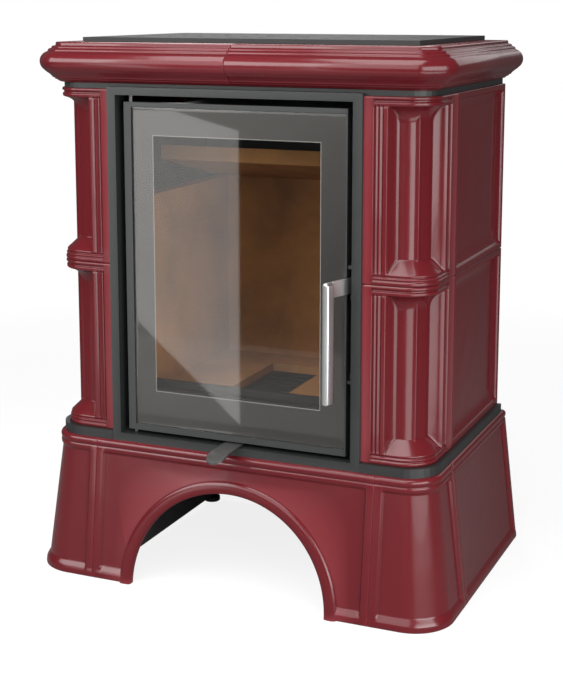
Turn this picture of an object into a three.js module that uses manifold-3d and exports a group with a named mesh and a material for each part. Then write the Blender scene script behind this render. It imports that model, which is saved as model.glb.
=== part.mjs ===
// Tiled wood stove: a splayed glazed plinth with an arched wood niche, two rows of
// fluted corner tiles and plain side tiles round a steel firebox, a glazed door that
// turns on two pins, a handle that turns its latch spindle, an air lever, a glazed
// cornice and a pierced steel top plate.
//
// Millimetres. +X is to the right, +Y goes to the back, +Z is up. Sizes along Y are
// measured from the front face of the door surround, which is y = 0 in every piece.
import * as THREE from 'three';
import { mergeVertices } from 'three/addons/utils/BufferGeometryUtils.js';
import Module from 'manifold-3d';

// ---------------------------------------------------------------- driving sizes
const GAP = 0.3; // clearance between pieces that touch

// Heights of the courses, from the floor up.
const PLINTH_HEIGHT = 272.5;
const BAND_HEIGHT = 17;
const LOWER_ROW_HEIGHT = 325;
const UPPER_ROW_HEIGHT = 330;
const ROW_JOINT = 1;
const CARRIER_HEIGHT = 10;
const CORNICE_HEIGHT = 74.5;
const TOP_PLATE_THICKNESS = 8.3;

// Tile casing.
const CASING_HALF_WIDTH = 379;
const CASING_FRONT = 7;
const CASING_REAR = 481;
const SIDE_JOINT = 149.5; // where a corner tile meets a side tile
const CORNER_RADIUS = 60; // rounded lips of a corner tile
const SIDE_TILE_THICKNESS = 45;
const SIDE_TILE_RIM = 13;
const SIDE_TILE_SINK = 6;
const TILE_WALL = 12;

// Corner tile: distances from the casing face round the corner.
const CORNER_TILE_WIDTH = 126.3; // along the front
const FLANGE_WIDTH = 17.3;
const RIB_ZONE = 27.5; // the fine ribs between flange and flute
const ARRIS_INSET = 36;
const FLUTE_DEPTH = 12;
const GROOVE_DEPTH = 4;
const RIB_SINK = 0.8;
const FOOT_APRON = 36;
const CAPITAL_COVE = 33;
const BEAD_ZONE_FOOT = 17;
const BEAD_ZONE_TOP = 17.5;
const CORNER_TILE_BACK = 24;

// Door surround, door and window.
const SURROUND_RISE = 4.4; // above the upper tiles
const SURROUND_DEPTH = 35.7;
const SURROUND_STILE = 17.3;
const SURROUND_TOP_BAR = 14.6;
const SURROUND_BOTTOM_BAR = 15.4;
const DOOR_SIDE_GAP = 13;
const DOOR_BOTTOM_GAP = 7.6;
const DOOR_FACE = 10;
const DOOR_DEPTH = 20;
const GLASS_THICKNESS = 4;
const GLASS_POCKET = 4.6;
const GLASS_LEFT_MARGIN = 15;
const GLASS_RIGHT_MARGIN = 2.6;
const TOP_STRIP = 9;
const BOTTOM_STRIP = 12;
const WINDOW_SIDE_MARGIN = 48.1; // from the door's edge to the window in its frame
const WINDOW_BOTTOM_MARGIN = 84.2;
const WINDOW_TOP_MARGIN = 59.4;
const SEAL_WIDTH = 9;
const SEAL_MARGIN = 12;
const HINGE_INSET = 10; // pin axis from the door's left edge and from its front face
const HINGE_PIN_RADIUS = 4;
const HINGE_CLEARANCE = 0.4;
const HINGE_ENGAGEMENT = 12;

// Latch: a vertical spindle beside the door's right edge.
const SPINDLE_RADIUS = 3;
const SPINDLE_FROM_STILE = 5.1;
const SPINDLE_DEPTH = 20;
const SPINDLE_LENGTH = 228;
const SPINDLE_ABOVE_HANDLE = 28;
const SPINDLE_CLEARANCE = 0.25;
const HANDLE_REACH = 66;
const HANDLE_ANGLE = 20; // degrees from straight ahead, towards the door's middle
const HANDLE_BAR_WIDTH = 15;
const HANDLE_BAR_DEPTH = 20;
const HANDLE_BAR_LENGTH = 219;
const HANDLE_BAR_RISE = 328.2; // from the door's lower edge to the top of the bar
const HANDLE_ARM_HEIGHT = 28;
const HANDLE_ARM_THICKNESS = 5;
const LATCH_LUG_HEIGHT = 6;
const LATCH_CLAW_LENGTH = 12;
const LATCH_CLAW_HEIGHT = 8;
const KEEPER_THICKNESS = 1.8;

// Air lever.
const LEVER_WIDTH = 36;
const LEVER_THICKNESS = 3;
const LEVER_TIP = -84;
const LEVER_BEND = -48;
const LEVER_DROOP = 11;
const LEVER_TRAVEL = 40;
const AIR_HOLE_HALF_WIDTH = 45;
const AIR_HOLE_FRONT = 160;
const AIR_HOLE_LENGTH = 35;
const AIR_SLIDE_OVERLAP = 6;

// Firebox.
const FIREBOX_SIDE_INSET = 20.4; // from the surround's edges
const FIREBOX_TOP_INSET = 45.5;
const FIREBOX_REAR_INSET = 41; // from the back of the casing
const FIREBOX_RISE = 14.2; // above the band, for the air slide
const FIREBOX_WALL = 4;
const MOUTH_SIDE_REBATE = 16; // the mouth is this much larger than the window
const MOUTH_BOTTOM_REBATE = 8;
const MOUTH_TOP_REBATE = 16.5;
const ASH_DOOR_HALF_WIDTH = 122;
const ASH_DOOR_RISE = 25;
const LINING = 30;
const HEARTH_DROP = 6; // below the mouth's lower edge
const HEARTH_PLATE = 5;
const GRATE_HALF_WIDTH = 60;
const GRATE_FRONT = 130;
const GRATE_REAR = 330;
const GRATE_THICKNESS = 14;
const GRATE_SLOTS = 7;
const GRATE_SLOT_WIDTH = 9;
const BAFFLE_THICKNESS = 28;
const BAFFLE_FRONT = 165;
const BAFFLE_RISE = 58;
const DEFLECTOR_THICKNESS = 4;
const DEFLECTOR_REAR = 262;
const GUARD_THICKNESS = 10;
const GUARD_HEIGHT = 22;
const ASH_PAN_SIDE_PLAY = 6;
const ASH_PAN_FRONT_PLAY = 1;
const ASH_PAN_REAR = 336;
const ASH_PAN_HEIGHT = 20;
const ASH_PAN_WALL = 2;

// Flue outlet and air duct at the back.
const FLUE_RADIUS = 75;
const FLUE_WALL = 3;
const FLUE_DROP = 83; // from the firebox's top to the flue's axis
const FLUE_REAR = 524;
const FLUE_FLANGE = 16;
const FLUE_SIDES = 28;
const REAR_PANEL_THICKNESS = 3;
const REAR_PANEL_FLUE_CLEARANCE = 12;
const DUCT_HALF_WIDTH = 55;
const DUCT_HEIGHT = 42;
const DUCT_WALL = 2;

// Cornice and top plate.
const CORNICE_DEPTH = 60; // from the casing face in to its open back
const CORNICE_WALL = 11;
const CORNICE_CHAMFER = 26;
const CORNICE_OVERHANG = 5; // past the back of the casing
const CORNICE_SOFTENING = 6;
const CORNICE_INNER_ROUND = 5;
const TORUS_RADIUS = 19;
const TORUS_CENTRE_OUT = 14;
const TORUS_CENTRE_DROP = 36.5; // below the cornice's top
const TOP_PLATE_SIDE_INSET = 44; // from the casing faces
const TOP_PLATE_FRONT_INSET = 51;
const TOP_PLATE_REAR_INSET = 2.5;
const TOP_PLATE_RIM = 34;
const TOP_PLATE_PITCH = 32;
const PETAL_LENGTH = 22;
const PETAL_WIDTH = 10;
const ROSETTE_RADIUS = 62;
const ROSETTE_PETALS = 12;

// Plinth: the plan grows from the top to the floor.
const PLINTH_SIDE_STEP = 12.5; // how far its top stands out from the casing
const PLINTH_FRONT_STEP = 14.4;
const PLINTH_REAR_STEP = 17;
const PLINTH_SPLAY = 32;
const PLINTH_TOP_RADIUS = 64;
const PLINTH_FLOOR_RADIUS = 80;
const PLINTH_CORNER_WIDTH = 107.5; // of its top, along the front
const PLINTH_CORNER_DEPTH = 125.4; // of its top, along the side
const PLINTH_WALL = 22;
const PLINTH_RIM = 14;
const PLINTH_PANEL_SINK = 5;
const PLINTH_NOSING = 24;
const PLINTH_LIP = 20;
const ARCH_DROP = 18; // from the niche's ceiling to the crown of the arch
const ARCH_BEAD = 16;
const ARCH_BEAD_PROUD = 2.5;
const BAND_STEP = 8; // how far the band stands out from the casing
const BAND_SKIRT = 4;
const BAND_TOP_SHEET = 4;
const BAND_RADIUS = 64;

// Niche of sheet steel inside the plinth, and its feet.
const NICHE_SIDE_INSET = 22; // from the joints of the plinth's front
const NICHE_FRONT = 30;
const NICHE_REAR_INSET = 28;
const NICHE_DUCT_CLEARANCE = 14.5; // from the niche's ceiling to the air duct
const NICHE_SHEET = 3;
const FOOT_RADIUS = 18;
const FOOT_HEIGHT = 10;

// ---------------------------------------------------------------- derived sizes
const BAND_BOTTOM = PLINTH_HEIGHT + GAP;
const BAND_TOP = BAND_BOTTOM + BAND_HEIGHT;
const LOWER_ROW_BOTTOM = BAND_TOP + GAP;
const LOWER_ROW_TOP = LOWER_ROW_BOTTOM + LOWER_ROW_HEIGHT;
const UPPER_ROW_BOTTOM = LOWER_ROW_TOP + ROW_JOINT;
const UPPER_ROW_TOP = UPPER_ROW_BOTTOM + UPPER_ROW_HEIGHT;
const CARRIER_BOTTOM = UPPER_ROW_TOP + GAP;
const CARRIER_TOP = CARRIER_BOTTOM + CARRIER_HEIGHT;
const CORNICE_BOTTOM = CARRIER_TOP + GAP;
const CORNICE_TOP = CORNICE_BOTTOM + CORNICE_HEIGHT;
const TOP_PLATE_BOTTOM = CORNICE_TOP + GAP;
const CORNER_TILE_SIDE_RUN = SIDE_JOINT - CASING_FRONT;
const FLANGE_EDGE = CORNER_TILE_WIDTH - FLANGE_WIDTH;
const FLUTE_EDGE = FLANGE_EDGE - RIB_ZONE;

const SURROUND_HALF_WIDTH = CASING_HALF_WIDTH - CORNER_TILE_WIDTH - GAP;
const SURROUND_BOTTOM = BAND_BOTTOM;
const SURROUND_TOP = UPPER_ROW_TOP + SURROUND_RISE;
const OPENING_HALF_WIDTH = SURROUND_HALF_WIDTH - SURROUND_STILE;
const OPENING_BOTTOM = SURROUND_BOTTOM + SURROUND_BOTTOM_BAR;
const OPENING_TOP = SURROUND_TOP - SURROUND_TOP_BAR;
const DOOR_HALF_WIDTH = OPENING_HALF_WIDTH - DOOR_SIDE_GAP;
const DOOR_BOTTOM = OPENING_BOTTOM + DOOR_BOTTOM_GAP;
const DOOR_TOP = OPENING_TOP - DOOR_SIDE_GAP;
const DOOR_BACK = DOOR_FACE + DOOR_DEPTH;
const WINDOW_HALF_WIDTH = DOOR_HALF_WIDTH - WINDOW_SIDE_MARGIN;
const WINDOW_BOTTOM = DOOR_BOTTOM + WINDOW_BOTTOM_MARGIN;
const WINDOW_TOP = DOOR_TOP - WINDOW_TOP_MARGIN;
const HINGE_X = -DOOR_HALF_WIDTH + HINGE_INSET;
const HINGE_Y = DOOR_FACE + HINGE_INSET;
const SPINDLE_X = OPENING_HALF_WIDTH - SPINDLE_FROM_STILE;
const HANDLE_BAR_TOP = DOOR_BOTTOM + HANDLE_BAR_RISE;
const HANDLE_BAR_BOTTOM = HANDLE_BAR_TOP - HANDLE_BAR_LENGTH;
const SPINDLE_TOP = HANDLE_BAR_TOP + SPINDLE_ABOVE_HANDLE;
const SPINDLE_BOTTOM = SPINDLE_TOP - SPINDLE_LENGTH;
const FIREBOX_FRONT = SURROUND_DEPTH + GAP;
const FIREBOX_HALF_WIDTH = SURROUND_HALF_WIDTH - FIREBOX_SIDE_INSET;
const FIREBOX_REAR = CASING_REAR - FIREBOX_REAR_INSET;
const FIREBOX_BOTTOM = BAND_TOP + FIREBOX_RISE;
const FIREBOX_TOP = SURROUND_TOP - FIREBOX_TOP_INSET;
const MOUTH_HALF_WIDTH = WINDOW_HALF_WIDTH + MOUTH_SIDE_REBATE;
const MOUTH_BOTTOM = WINDOW_BOTTOM - MOUTH_BOTTOM_REBATE;
const MOUTH_TOP = WINDOW_TOP + MOUTH_TOP_REBATE;
const ASH_DOOR_TOP = FIREBOX_BOTTOM + ASH_DOOR_RISE;
const ASH_PAN_HALF_WIDTH = ASH_DOOR_HALF_WIDTH - ASH_PAN_SIDE_PLAY;
const HEARTH_TOP = MOUTH_BOTTOM - HEARTH_DROP;
const FLUE_HEIGHT = FIREBOX_TOP - FLUE_DROP;
const CHAMBER_HALF_WIDTH = FIREBOX_HALF_WIDTH - FIREBOX_WALL - GAP;
const CHAMBER_REAR = FIREBOX_REAR - FIREBOX_WALL - GAP;
const CHAMBER_FRONT = FIREBOX_FRONT + FIREBOX_WALL + GAP;
const HEARTH_PLATE_TOP = HEARTH_TOP - LINING - GAP;
const LINING_TOP = FLUE_HEIGHT - FLUE_RADIUS - 4;
const LEVER_BOTTOM = BAND_TOP + 2 * GAP;
const DUCT_TOP = BAND_TOP - BAND_TOP_SHEET - GAP;
const DUCT_BOTTOM = DUCT_TOP - DUCT_HEIGHT;
const NICHE_CEILING = DUCT_BOTTOM - NICHE_DUCT_CLEARANCE - NICHE_SHEET;
const ARCH_RADIUS = NICHE_CEILING - ARCH_DROP;

const TOP_PLATE_HALF_WIDTH = CASING_HALF_WIDTH - TOP_PLATE_SIDE_INSET;
const TOP_PLATE_FRONT = CASING_FRONT + TOP_PLATE_FRONT_INSET;
const TOP_PLATE_REAR = CASING_REAR - TOP_PLATE_REAR_INSET;
const CORNICE_REAR = CASING_REAR + CORNICE_OVERHANG;
const BAND_HALF_WIDTH = CASING_HALF_WIDTH + BAND_STEP;
const BAND_FRONT = CASING_FRONT - BAND_STEP;
const PLINTH_TOP_HALF_WIDTH = CASING_HALF_WIDTH + PLINTH_SIDE_STEP;
const PLINTH_TOP_FRONT = CASING_FRONT - PLINTH_FRONT_STEP;
const PLINTH_REAR = CASING_REAR + PLINTH_REAR_STEP;
const PLINTH_FRONT_JOINT = PLINTH_TOP_HALF_WIDTH - PLINTH_CORNER_WIDTH;
const PLINTH_SIDE_JOINT = PLINTH_TOP_FRONT + PLINTH_CORNER_DEPTH;
const NICHE_HALF_WIDTH = PLINTH_FRONT_JOINT - NICHE_SIDE_INSET;
const NICHE_REAR = PLINTH_REAR - NICHE_REAR_INSET;
const REAR_PANEL_FRONT = CASING_REAR - REAR_PANEL_THICKNESS - 1;
const NICHE_FLOOR = FOOT_HEIGHT + GAP;

const { ShapeUtils, Vector2, Vector3 } = THREE;
const wasm = await Module();
wasm.setup();

// ---------------------------------------------------------------- finishes
const glaze = () => new THREE.MeshStandardMaterial({ color: 0x70262f, roughness: 0.12, metalness: 0 });
const enamel = () => new THREE.MeshStandardMaterial({ color: 0x3a3d3e, roughness: 0.5, metalness: 0.5 });
const castIron = () => new THREE.MeshStandardMaterial({ color: 0x303132, roughness: 0.7, metalness: 0.6 });
const steel = () => new THREE.MeshStandardMaterial({ color: 0xb9bbbc, roughness: 0.3, metalness: 1 });
const vermiculite = () => new THREE.MeshStandardMaterial({ color: 0xb08a5e, roughness: 0.95, metalness: 0 });
const rope = () => new THREE.MeshStandardMaterial({ color: 0x4a4a48, roughness: 1, metalness: 0 });
const ceramicGlass = () => new THREE.MeshStandardMaterial({
  color: 0x2a2a2a, roughness: 0.05, metalness: 0, transparent: true, opacity: 0.35,
});

// ---------------------------------------------------------------- shape helpers
function bare(geometry) {
  const stripped = geometry.index ? geometry.toNonIndexed() : geometry.clone();
  for (const name of Object.keys(stripped.attributes)) {
    if (name !== 'position') stripped.deleteAttribute(name);
  }
  return mergeVertices(stripped, 1e-4);
}

function toSolid(geometry) {
  const shared = bare(geometry);
  return new wasm.Manifold(new wasm.Mesh({
    numProp: 3,
    vertProperties: new Float32Array(shared.attributes.position.array),
    triVerts: new Uint32Array(shared.index.array),
  }));
}

function toGeometry(solid) {
  const mesh = solid.getMesh();
  const geometry = new THREE.BufferGeometry();
  geometry.setAttribute('position', new THREE.Float32BufferAttribute(mesh.vertProperties, 3));
  geometry.setIndex(Array.from(mesh.triVerts));
  geometry.computeVertexNormals();
  return geometry;
}

function cut(geometry, ...tools) {
  const result = tools.reduce((solid, tool) => solid.subtract(toSolid(tool)), toSolid(geometry));
  return toGeometry(result);
}

function join(geometry, ...others) {
  const result = others.reduce((solid, other) => solid.add(toSolid(other)), toSolid(geometry));
  return toGeometry(result);
}

function box(x0, x1, y0, y1, z0, z1) {
  const geometry = new THREE.BoxGeometry(x1 - x0, y1 - y0, z1 - z0);
  return geometry.translate((x0 + x1) / 2, (y0 + y1) / 2, (z0 + z1) / 2);
}

function uprightRod(radius, x, y, z0, z1, sides = 16) {
  const geometry = new THREE.CylinderGeometry(radius, radius, z1 - z0, sides);
  return geometry.rotateX(Math.PI / 2).translate(x, y, (z0 + z1) / 2);
}

function levelRod(radius, x, z, y0, y1, sides) {
  const geometry = new THREE.CylinderGeometry(radius, radius, y1 - y0, sides);
  return geometry.translate(x, (y0 + y1) / 2, z);
}

function mirrored(geometry) {
  const flipped = bare(geometry).scale(-1, 1, 1);
  const index = flipped.index.array;
  for (let i = 0; i < index.length; i += 3) {
    [index[i], index[i + 1]] = [index[i + 1], index[i]];
  }
  return flipped;
}

function enclosedVolume(positions, index) {
  const corner = (i) => new Vector3(...positions.slice(3 * i, 3 * i + 3));
  let volume = 0;
  for (let i = 0; i < index.length; i += 3) {
    const [a, b, c] = [corner(index[i]), corner(index[i + 1]), corner(index[i + 2])];
    volume += a.dot(b.cross(c)) / 6;
  }
  return volume;
}

// Skins a row of closed loops with the same number of points and closes both ends.
// flatten gives a loop point's place in the plane of the end loops.
function loft(loops, flatten) {
  const count = loops[0].length;
  const positions = loops.flat().flatMap((point) => [point.x, point.y, point.z]);
  const index = [];
  for (let ring = 0; ring + 1 < loops.length; ring += 1) {
    for (let i = 0; i < count; i += 1) {
      const a = ring * count + i;
      const b = ring * count + ((i + 1) % count);
      index.push(a, b, b + count, a, b + count, a + count);
    }
  }
  const endFaces = (ring, alongLoop) => {
    const outline = loops[ring].map(flatten);
    const turnsLeft = ShapeUtils.area(outline) > 0;
    for (const [a, b, c] of ShapeUtils.triangulateShape(outline, [])) {
      const faceTurnsLeft = ShapeUtils.area([outline[a], outline[b], outline[c]]) > 0;
      const face = (faceTurnsLeft === turnsLeft) === alongLoop ? [a, b, c] : [a, c, b];
      index.push(...face.map((i) => ring * count + i));
    }
  };
  endFaces(0, false);
  endFaces(loops.length - 1, true);
  if (enclosedVolume(positions, index) < 0) index.reverse();
  const geometry = new THREE.BufferGeometry();
  geometry.setAttribute('position', new THREE.Float32BufferAttribute(positions, 3));
  geometry.setIndex(index);
  geometry.computeVertexNormals();
  return geometry;
}

const inPlan = (point) => new Vector2(point.x, point.y);
const inSection = (point) => new Vector2(point.y, point.z);
const inElevation = (point) => new Vector2(point.x, point.z);

function plate(outline, z0, z1) {
  return loft([z0, z1].map((z) => outline.map(([x, y]) => new Vector3(x, y, z))), inPlan);
}

// ---------------------------------------------------------------- glazed casing
// A corner tile in plan, in distances p along the front face from the side face and q
// along the side face from the front face. The outline of its lips is straight with
// one round corner; its shaft has a flat flange, fine ribs, a roll and a hollow flute
// that ends on an arris on the diagonal.
const RIB_PROFILE = [ // distance from the flange's edge, and depth below the face
  [0, 0], [2.5, GROOVE_DEPTH], [5, RIB_SINK], [8, GROOVE_DEPTH], [12, RIB_SINK],
  [16, GROOVE_DEPTH], [19, RIB_SINK / 2], [25, RIB_SINK / 2], [RIB_ZONE, GROOVE_DEPTH],
].map(([from, depth]) => [FLANGE_EDGE - from, depth]);
const FLUTE_STEPS = 4;

function lipPoint(along) {
  const straight = FLUTE_EDGE - CORNER_RADIUS;
  if (along <= straight) return { p: FLUTE_EDGE - along, q: 0, out: [0, -1] };
  const turn = (along - straight) / CORNER_RADIUS;
  const out = [-Math.sin(turn), -Math.cos(turn)];
  return { p: CORNER_RADIUS * (1 + out[0]), q: CORNER_RADIUS * (1 + out[1]), out };
}

function cornerTileStations() {
  const stations = [{ lip: [CORNER_TILE_WIDTH, 0], shaft: [CORNER_TILE_WIDTH, 0], out: [0, 0] }];
  for (const [p, q] of RIB_PROFILE) {
    const out = p === FLANGE_EDGE ? [0, 0] : [0, -1];
    stations.push({ lip: [p, 0], shaft: [p, q], out });
  }
  const halfRun = FLUTE_EDGE - CORNER_RADIUS + CORNER_RADIUS * (Math.PI / 4);
  const start = new Vector2(FLUTE_EDGE, GROOVE_DEPTH);
  const arris = new Vector2(ARRIS_INSET, ARRIS_INSET);
  const chord = arris.clone().sub(start);
  const inward = new Vector2(-chord.y, chord.x).normalize().multiplyScalar(-FLUTE_DEPTH);
  for (let i = 1; i <= FLUTE_STEPS; i += 1) {
    const share = i / FLUTE_STEPS;
    const lip = lipPoint(share * halfRun);
    const hollow = start.clone().addScaledVector(chord, share);
    hollow.addScaledVector(inward, 4 * share * (1 - share));
    stations.push({ lip: [lip.p, lip.q], shaft: [hollow.x, hollow.y], out: lip.out });
  }
  const swap = ([p, q]) => [q, p];
  const front = stations.slice(0, -1);
  const side = front.map(({ lip, shaft, out }) => ({ lip: swap(lip), shaft: swap(shaft), out: swap(out) }));
  side[0].lip = [0, CORNER_TILE_SIDE_RUN];
  side[0].shaft = [0, CORNER_TILE_SIDE_RUN];
  return [...stations, ...side.reverse()];
}

// Courses of one corner tile: height, how far a bead stands back from the lip line,
// and how much of the shaft's section it has.
function cornerTileCourses(height) {
  const foot = (share) => BEAD_ZONE_FOOT + share * FOOT_APRON;
  const cove = (share) => height - BEAD_ZONE_TOP - share * CAPITAL_COVE;
  const coveBlend = (share) => Math.sqrt(1 - (1 - share) ** 2);
  const faint = 0.03; // the ribs all but run out in the beads
  return [
    [0, 1.5, faint], [2, 0, faint], [6, 0, faint], [8, 2.5, faint], [12, 0.5, faint], [14.5, 4, faint],
    [foot(0), 2, 0.06], [foot(0.5), 0, 0.52], [foot(0.85), 0, 0.9], [foot(1.05), 0, 1],
    [cove(1), 0, 1], [cove(0.5), 0, coveBlend(0.5)], [cove(0.2), 0, coveBlend(0.2)],
    [cove(0.02), 1, 0.15], [height - 15, 0.8, faint], [height - 11, 0.8, faint], [height - 9.5, 3.5, faint],
    [height - 6.5, 3.5, faint], [height - 5, 0, faint], [height - 2, 0, faint], [height, 1.5, faint],
  ];
}

function cornerTile(bottom, height) {
  const stations = cornerTileStations();
  const back = CORNER_TILE_BACK;
  const deep = ARRIS_INSET + 20;
  const wide = FLUTE_EDGE + 8;
  const backLine = [[back, CORNER_TILE_SIDE_RUN], [back, wide], [deep, deep], [wide, back],
    [CORNER_TILE_WIDTH, back]];
  const place = ([p, q], z) => new Vector3(CASING_HALF_WIDTH - p, CASING_FRONT + q, z);
  const loops = cornerTileCourses(height).map(([rise, sink, shaftShare]) => {
    const face = stations.map(({ lip, shaft, out }) => place([0, 1].map(
      (axis) => lip[axis] + shaftShare * (shaft[axis] - lip[axis]) - sink * out[axis],
    ), bottom + rise));
    return [...face, ...backLine.map((point) => place(point, bottom + rise))];
  });
  return loft(loops, inPlan);
}

function roundedRectangle(y0, y1, z0, z1, radius, steps) {
  const points = [];
  const centres = [[y1 - radius, z1 - radius], [y0 + radius, z1 - radius],
    [y0 + radius, z0 + radius], [y1 - radius, z0 + radius]];
  centres.forEach(([y, z], quarter) => {
    for (let i = 0; i <= steps; i += 1) {
      const angle = (quarter + i / steps) * (Math.PI / 2);
      points.push([y + radius * Math.cos(angle), z + radius * Math.sin(angle)]);
    }
  });
  return points;
}

// A side tile: a raised rim round a sunken field, with a hollow back.
function sideTile(bottom, height) {
  const front = SIDE_JOINT + ROW_JOINT;
  const top = bottom + height;
  const outer = CASING_HALF_WIDTH;
  const back = outer - SIDE_TILE_THICKNESS;
  const loop = (inset, radius, x) => roundedRectangle(
    front + inset, CASING_REAR - inset, bottom + inset, top - inset, radius, 3,
  ).map(([y, z]) => new Vector3(x, y, z));
  const field = SIDE_TILE_RIM + 10;
  const hollow = outer - SIDE_TILE_SINK - TILE_WALL;
  return loft([
    loop(field, 14, outer - SIDE_TILE_SINK), loop(field - 5, 10, outer - SIDE_TILE_SINK + 1.2),
    loop(SIDE_TILE_RIM, 5, outer - 0.5), loop(SIDE_TILE_RIM - 2, 4, outer), loop(2, 2, outer),
    loop(0, 1.5, outer - 2), loop(0, 1.5, back), loop(TILE_WALL, 4, back), loop(TILE_WALL, 4, hollow),
  ], inSection);
}

// The cornice's section: how far out from the casing face, and the height.
function corniceSection() {
  const top = CORNICE_TOP;
  const bottom = CORNICE_BOTTOM;
  const points = [
    [-CORNICE_DEPTH, top], [0.5, top], [2, top - 1.5], [2.5, top - 6.5], [6, top - 7], [9.5, top - 8],
    [10.5, top - 11.5], [13.5, top - 12], [16.5, top - 13.5], [17.5, top - 17],
  ];
  const centre = top - TORUS_CENTRE_DROP;
  for (let degrees = 70; degrees >= -52; degrees -= 12.2) {
    const angle = THREE.MathUtils.degToRad(degrees);
    points.push([TORUS_CENTRE_OUT + TORUS_RADIUS * Math.cos(angle), centre + TORUS_RADIUS * Math.sin(angle)]);
  }
  points.push(
    [22, bottom + 19.5], [17, bottom + 16], [11.5, bottom + 11.5], [9, bottom + 8], [6, bottom + 7.5],
    [4, bottom + 4.5], [1, bottom + 4], [-4, bottom], [-4 - CORNICE_WALL, bottom],
    [-2, bottom + 16], [8, bottom + 30], [8, bottom + 46], [-8, top - CORNICE_WALL],
    [-CORNICE_DEPTH, top - CORNICE_WALL],
  );
  return points;
}

// One L-shaped half of the cornice, swept from the seam at the front's middle, round
// the clipped corner and back along the side. Outside the casing face its section
// follows the clip; inside, it draws in to a small round at the hidden corner.
function corniceHalf() {
  const cornerX = CASING_HALF_WIDTH;
  const cornerY = CASING_FRONT;
  const clip = CORNICE_CHAMFER;
  const soften = CORNICE_SOFTENING;
  const innerX = cornerX - CORNICE_DEPTH - CORNICE_INNER_ROUND;
  const innerY = cornerY + CORNICE_DEPTH + CORNICE_INNER_ROUND;
  const innerAt = (degrees) => {
    const angle = THREE.MathUtils.degToRad(degrees);
    return [innerX + CORNICE_INNER_ROUND * Math.sin(angle), innerY - CORNICE_INNER_ROUND * Math.cos(angle)];
  };
  const route = [
    { at: [GAP / 2, cornerY], turn: 0, inner: [GAP / 2, cornerY + CORNICE_DEPTH] },
    { at: [cornerX - clip - soften, cornerY], turn: 0, inner: innerAt(0) },
    { at: [cornerX - clip, cornerY + soften * 0.12], turn: 22.5, inner: innerAt(22.5) },
    { at: [cornerX - clip + soften * 0.7, cornerY + soften * 0.7], turn: 45, inner: innerAt(40) },
    { at: [cornerX - soften * 0.7, cornerY + clip - soften * 0.7], turn: 45, inner: innerAt(50) },
    { at: [cornerX - soften * 0.12, cornerY + clip], turn: 67.5, inner: innerAt(67.5) },
    { at: [cornerX, cornerY + clip + soften], turn: 90, inner: innerAt(90) },
    { at: [cornerX, CORNICE_REAR], turn: 90, inner: [cornerX - CORNICE_DEPTH, CORNICE_REAR] },
  ];
  const loops = route.map(({ at, turn, inner }) => {
    const angle = THREE.MathUtils.degToRad(turn);
    return corniceSection().map(([reach, z]) => {
      const share = Math.max(0, -reach) / CORNICE_DEPTH;
      const proud = Math.max(0, reach);
      return new Vector3(
        THREE.MathUtils.lerp(at[0], inner[0], share) + proud * Math.sin(angle),
        THREE.MathUtils.lerp(at[1], inner[1], share) - proud * Math.cos(angle),
        z,
      );
    });
  });
  const flatten = (point) => (Math.abs(point.x - GAP / 2) < 1e-6
    ? new Vector2(-point.y, point.z) : new Vector2(point.x, point.z));
  return loft(loops, flatten);
}

// ---------------------------------------------------------------- plinth
const splayAt = (z) => PLINTH_SPLAY * (1 - z / PLINTH_HEIGHT);

// Courses of a plinth piece: height, how far its rims stand back from the splayed
// face, and how far its panels do.
function plinthCourses() {
  const top = PLINTH_HEIGHT;
  const rim = 1;
  const panel = rim + PLINTH_PANEL_SINK;
  return [
    [0, 4, 4.2], [2, 0.5, 0.7], [PLINTH_LIP * 0.6, 0, 0.2], [PLINTH_LIP * 0.85, rim, 2], [PLINTH_LIP + 5, rim, panel],
    [top - PLINTH_NOSING - 4, rim, panel], [top - PLINTH_NOSING, rim, 2.5], [top - 17, rim, 1.2],
    [top - 14.5, 2.5, 2.7], [top - 12, 0.5, 0.7], [top - 6, -1, -0.8], [top - 2, 0.5, 0.7], [top, 4, 4.2],
  ];
}

function plinthCorner() {
  const arcSteps = 6;
  const loops = plinthCourses().map(([z, rim, panel]) => {
    const width = PLINTH_TOP_HALF_WIDTH + splayAt(z);
    const front = PLINTH_TOP_FRONT - splayAt(z);
    const share = z / PLINTH_HEIGHT;
    const radius = THREE.MathUtils.lerp(PLINTH_FLOOR_RADIUS, PLINTH_TOP_RADIUS, share);
    const startX = PLINTH_FRONT_JOINT + GAP;
    const endY = PLINTH_SIDE_JOINT - GAP;
    const outer = [[startX, front + rim], [startX + PLINTH_RIM, front + rim], [startX + PLINTH_RIM + 4, front + panel]];
    for (let i = 0; i <= arcSteps; i += 1) {
      const angle = (i / arcSteps) * (Math.PI / 2);
      const reach = radius - panel;
      outer.push([width - radius + reach * Math.sin(angle), front + radius - reach * Math.cos(angle)]);
    }
    outer.push([width - panel, endY - PLINTH_RIM - 4], [width - rim, endY - PLINTH_RIM], [width - rim, endY]);
    const wall = PLINTH_WALL;
    const bend = radius * 0.35 + wall * 0.6;
    const inner = [[width - wall, endY], [width - wall, front + wall + bend], [width - wall - bend, front + wall],
      [startX, front + wall]];
    return [...outer, ...inner].map(([x, y]) => new Vector3(x, y, z));
  });
  return loft(loops, inPlan);
}

function plinthSide() {
  const loops = plinthCourses().map(([z, rim, panel]) => {
    const width = PLINTH_TOP_HALF_WIDTH + splayAt(z);
    const start = PLINTH_SIDE_JOINT + GAP;
    return [
      [width - rim, start], [width - rim, start + PLINTH_RIM], [width - panel, start + PLINTH_RIM + 4],
      [width - panel, PLINTH_REAR - PLINTH_RIM - 4], [width - rim, PLINTH_REAR - PLINTH_RIM],
      [width - rim, PLINTH_REAR], [width - PLINTH_WALL, PLINTH_REAR], [width - PLINTH_WALL, start],
    ].map(([x, y]) => new Vector3(x, y, z));
  });
  return loft(loops, inPlan);
}

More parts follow.
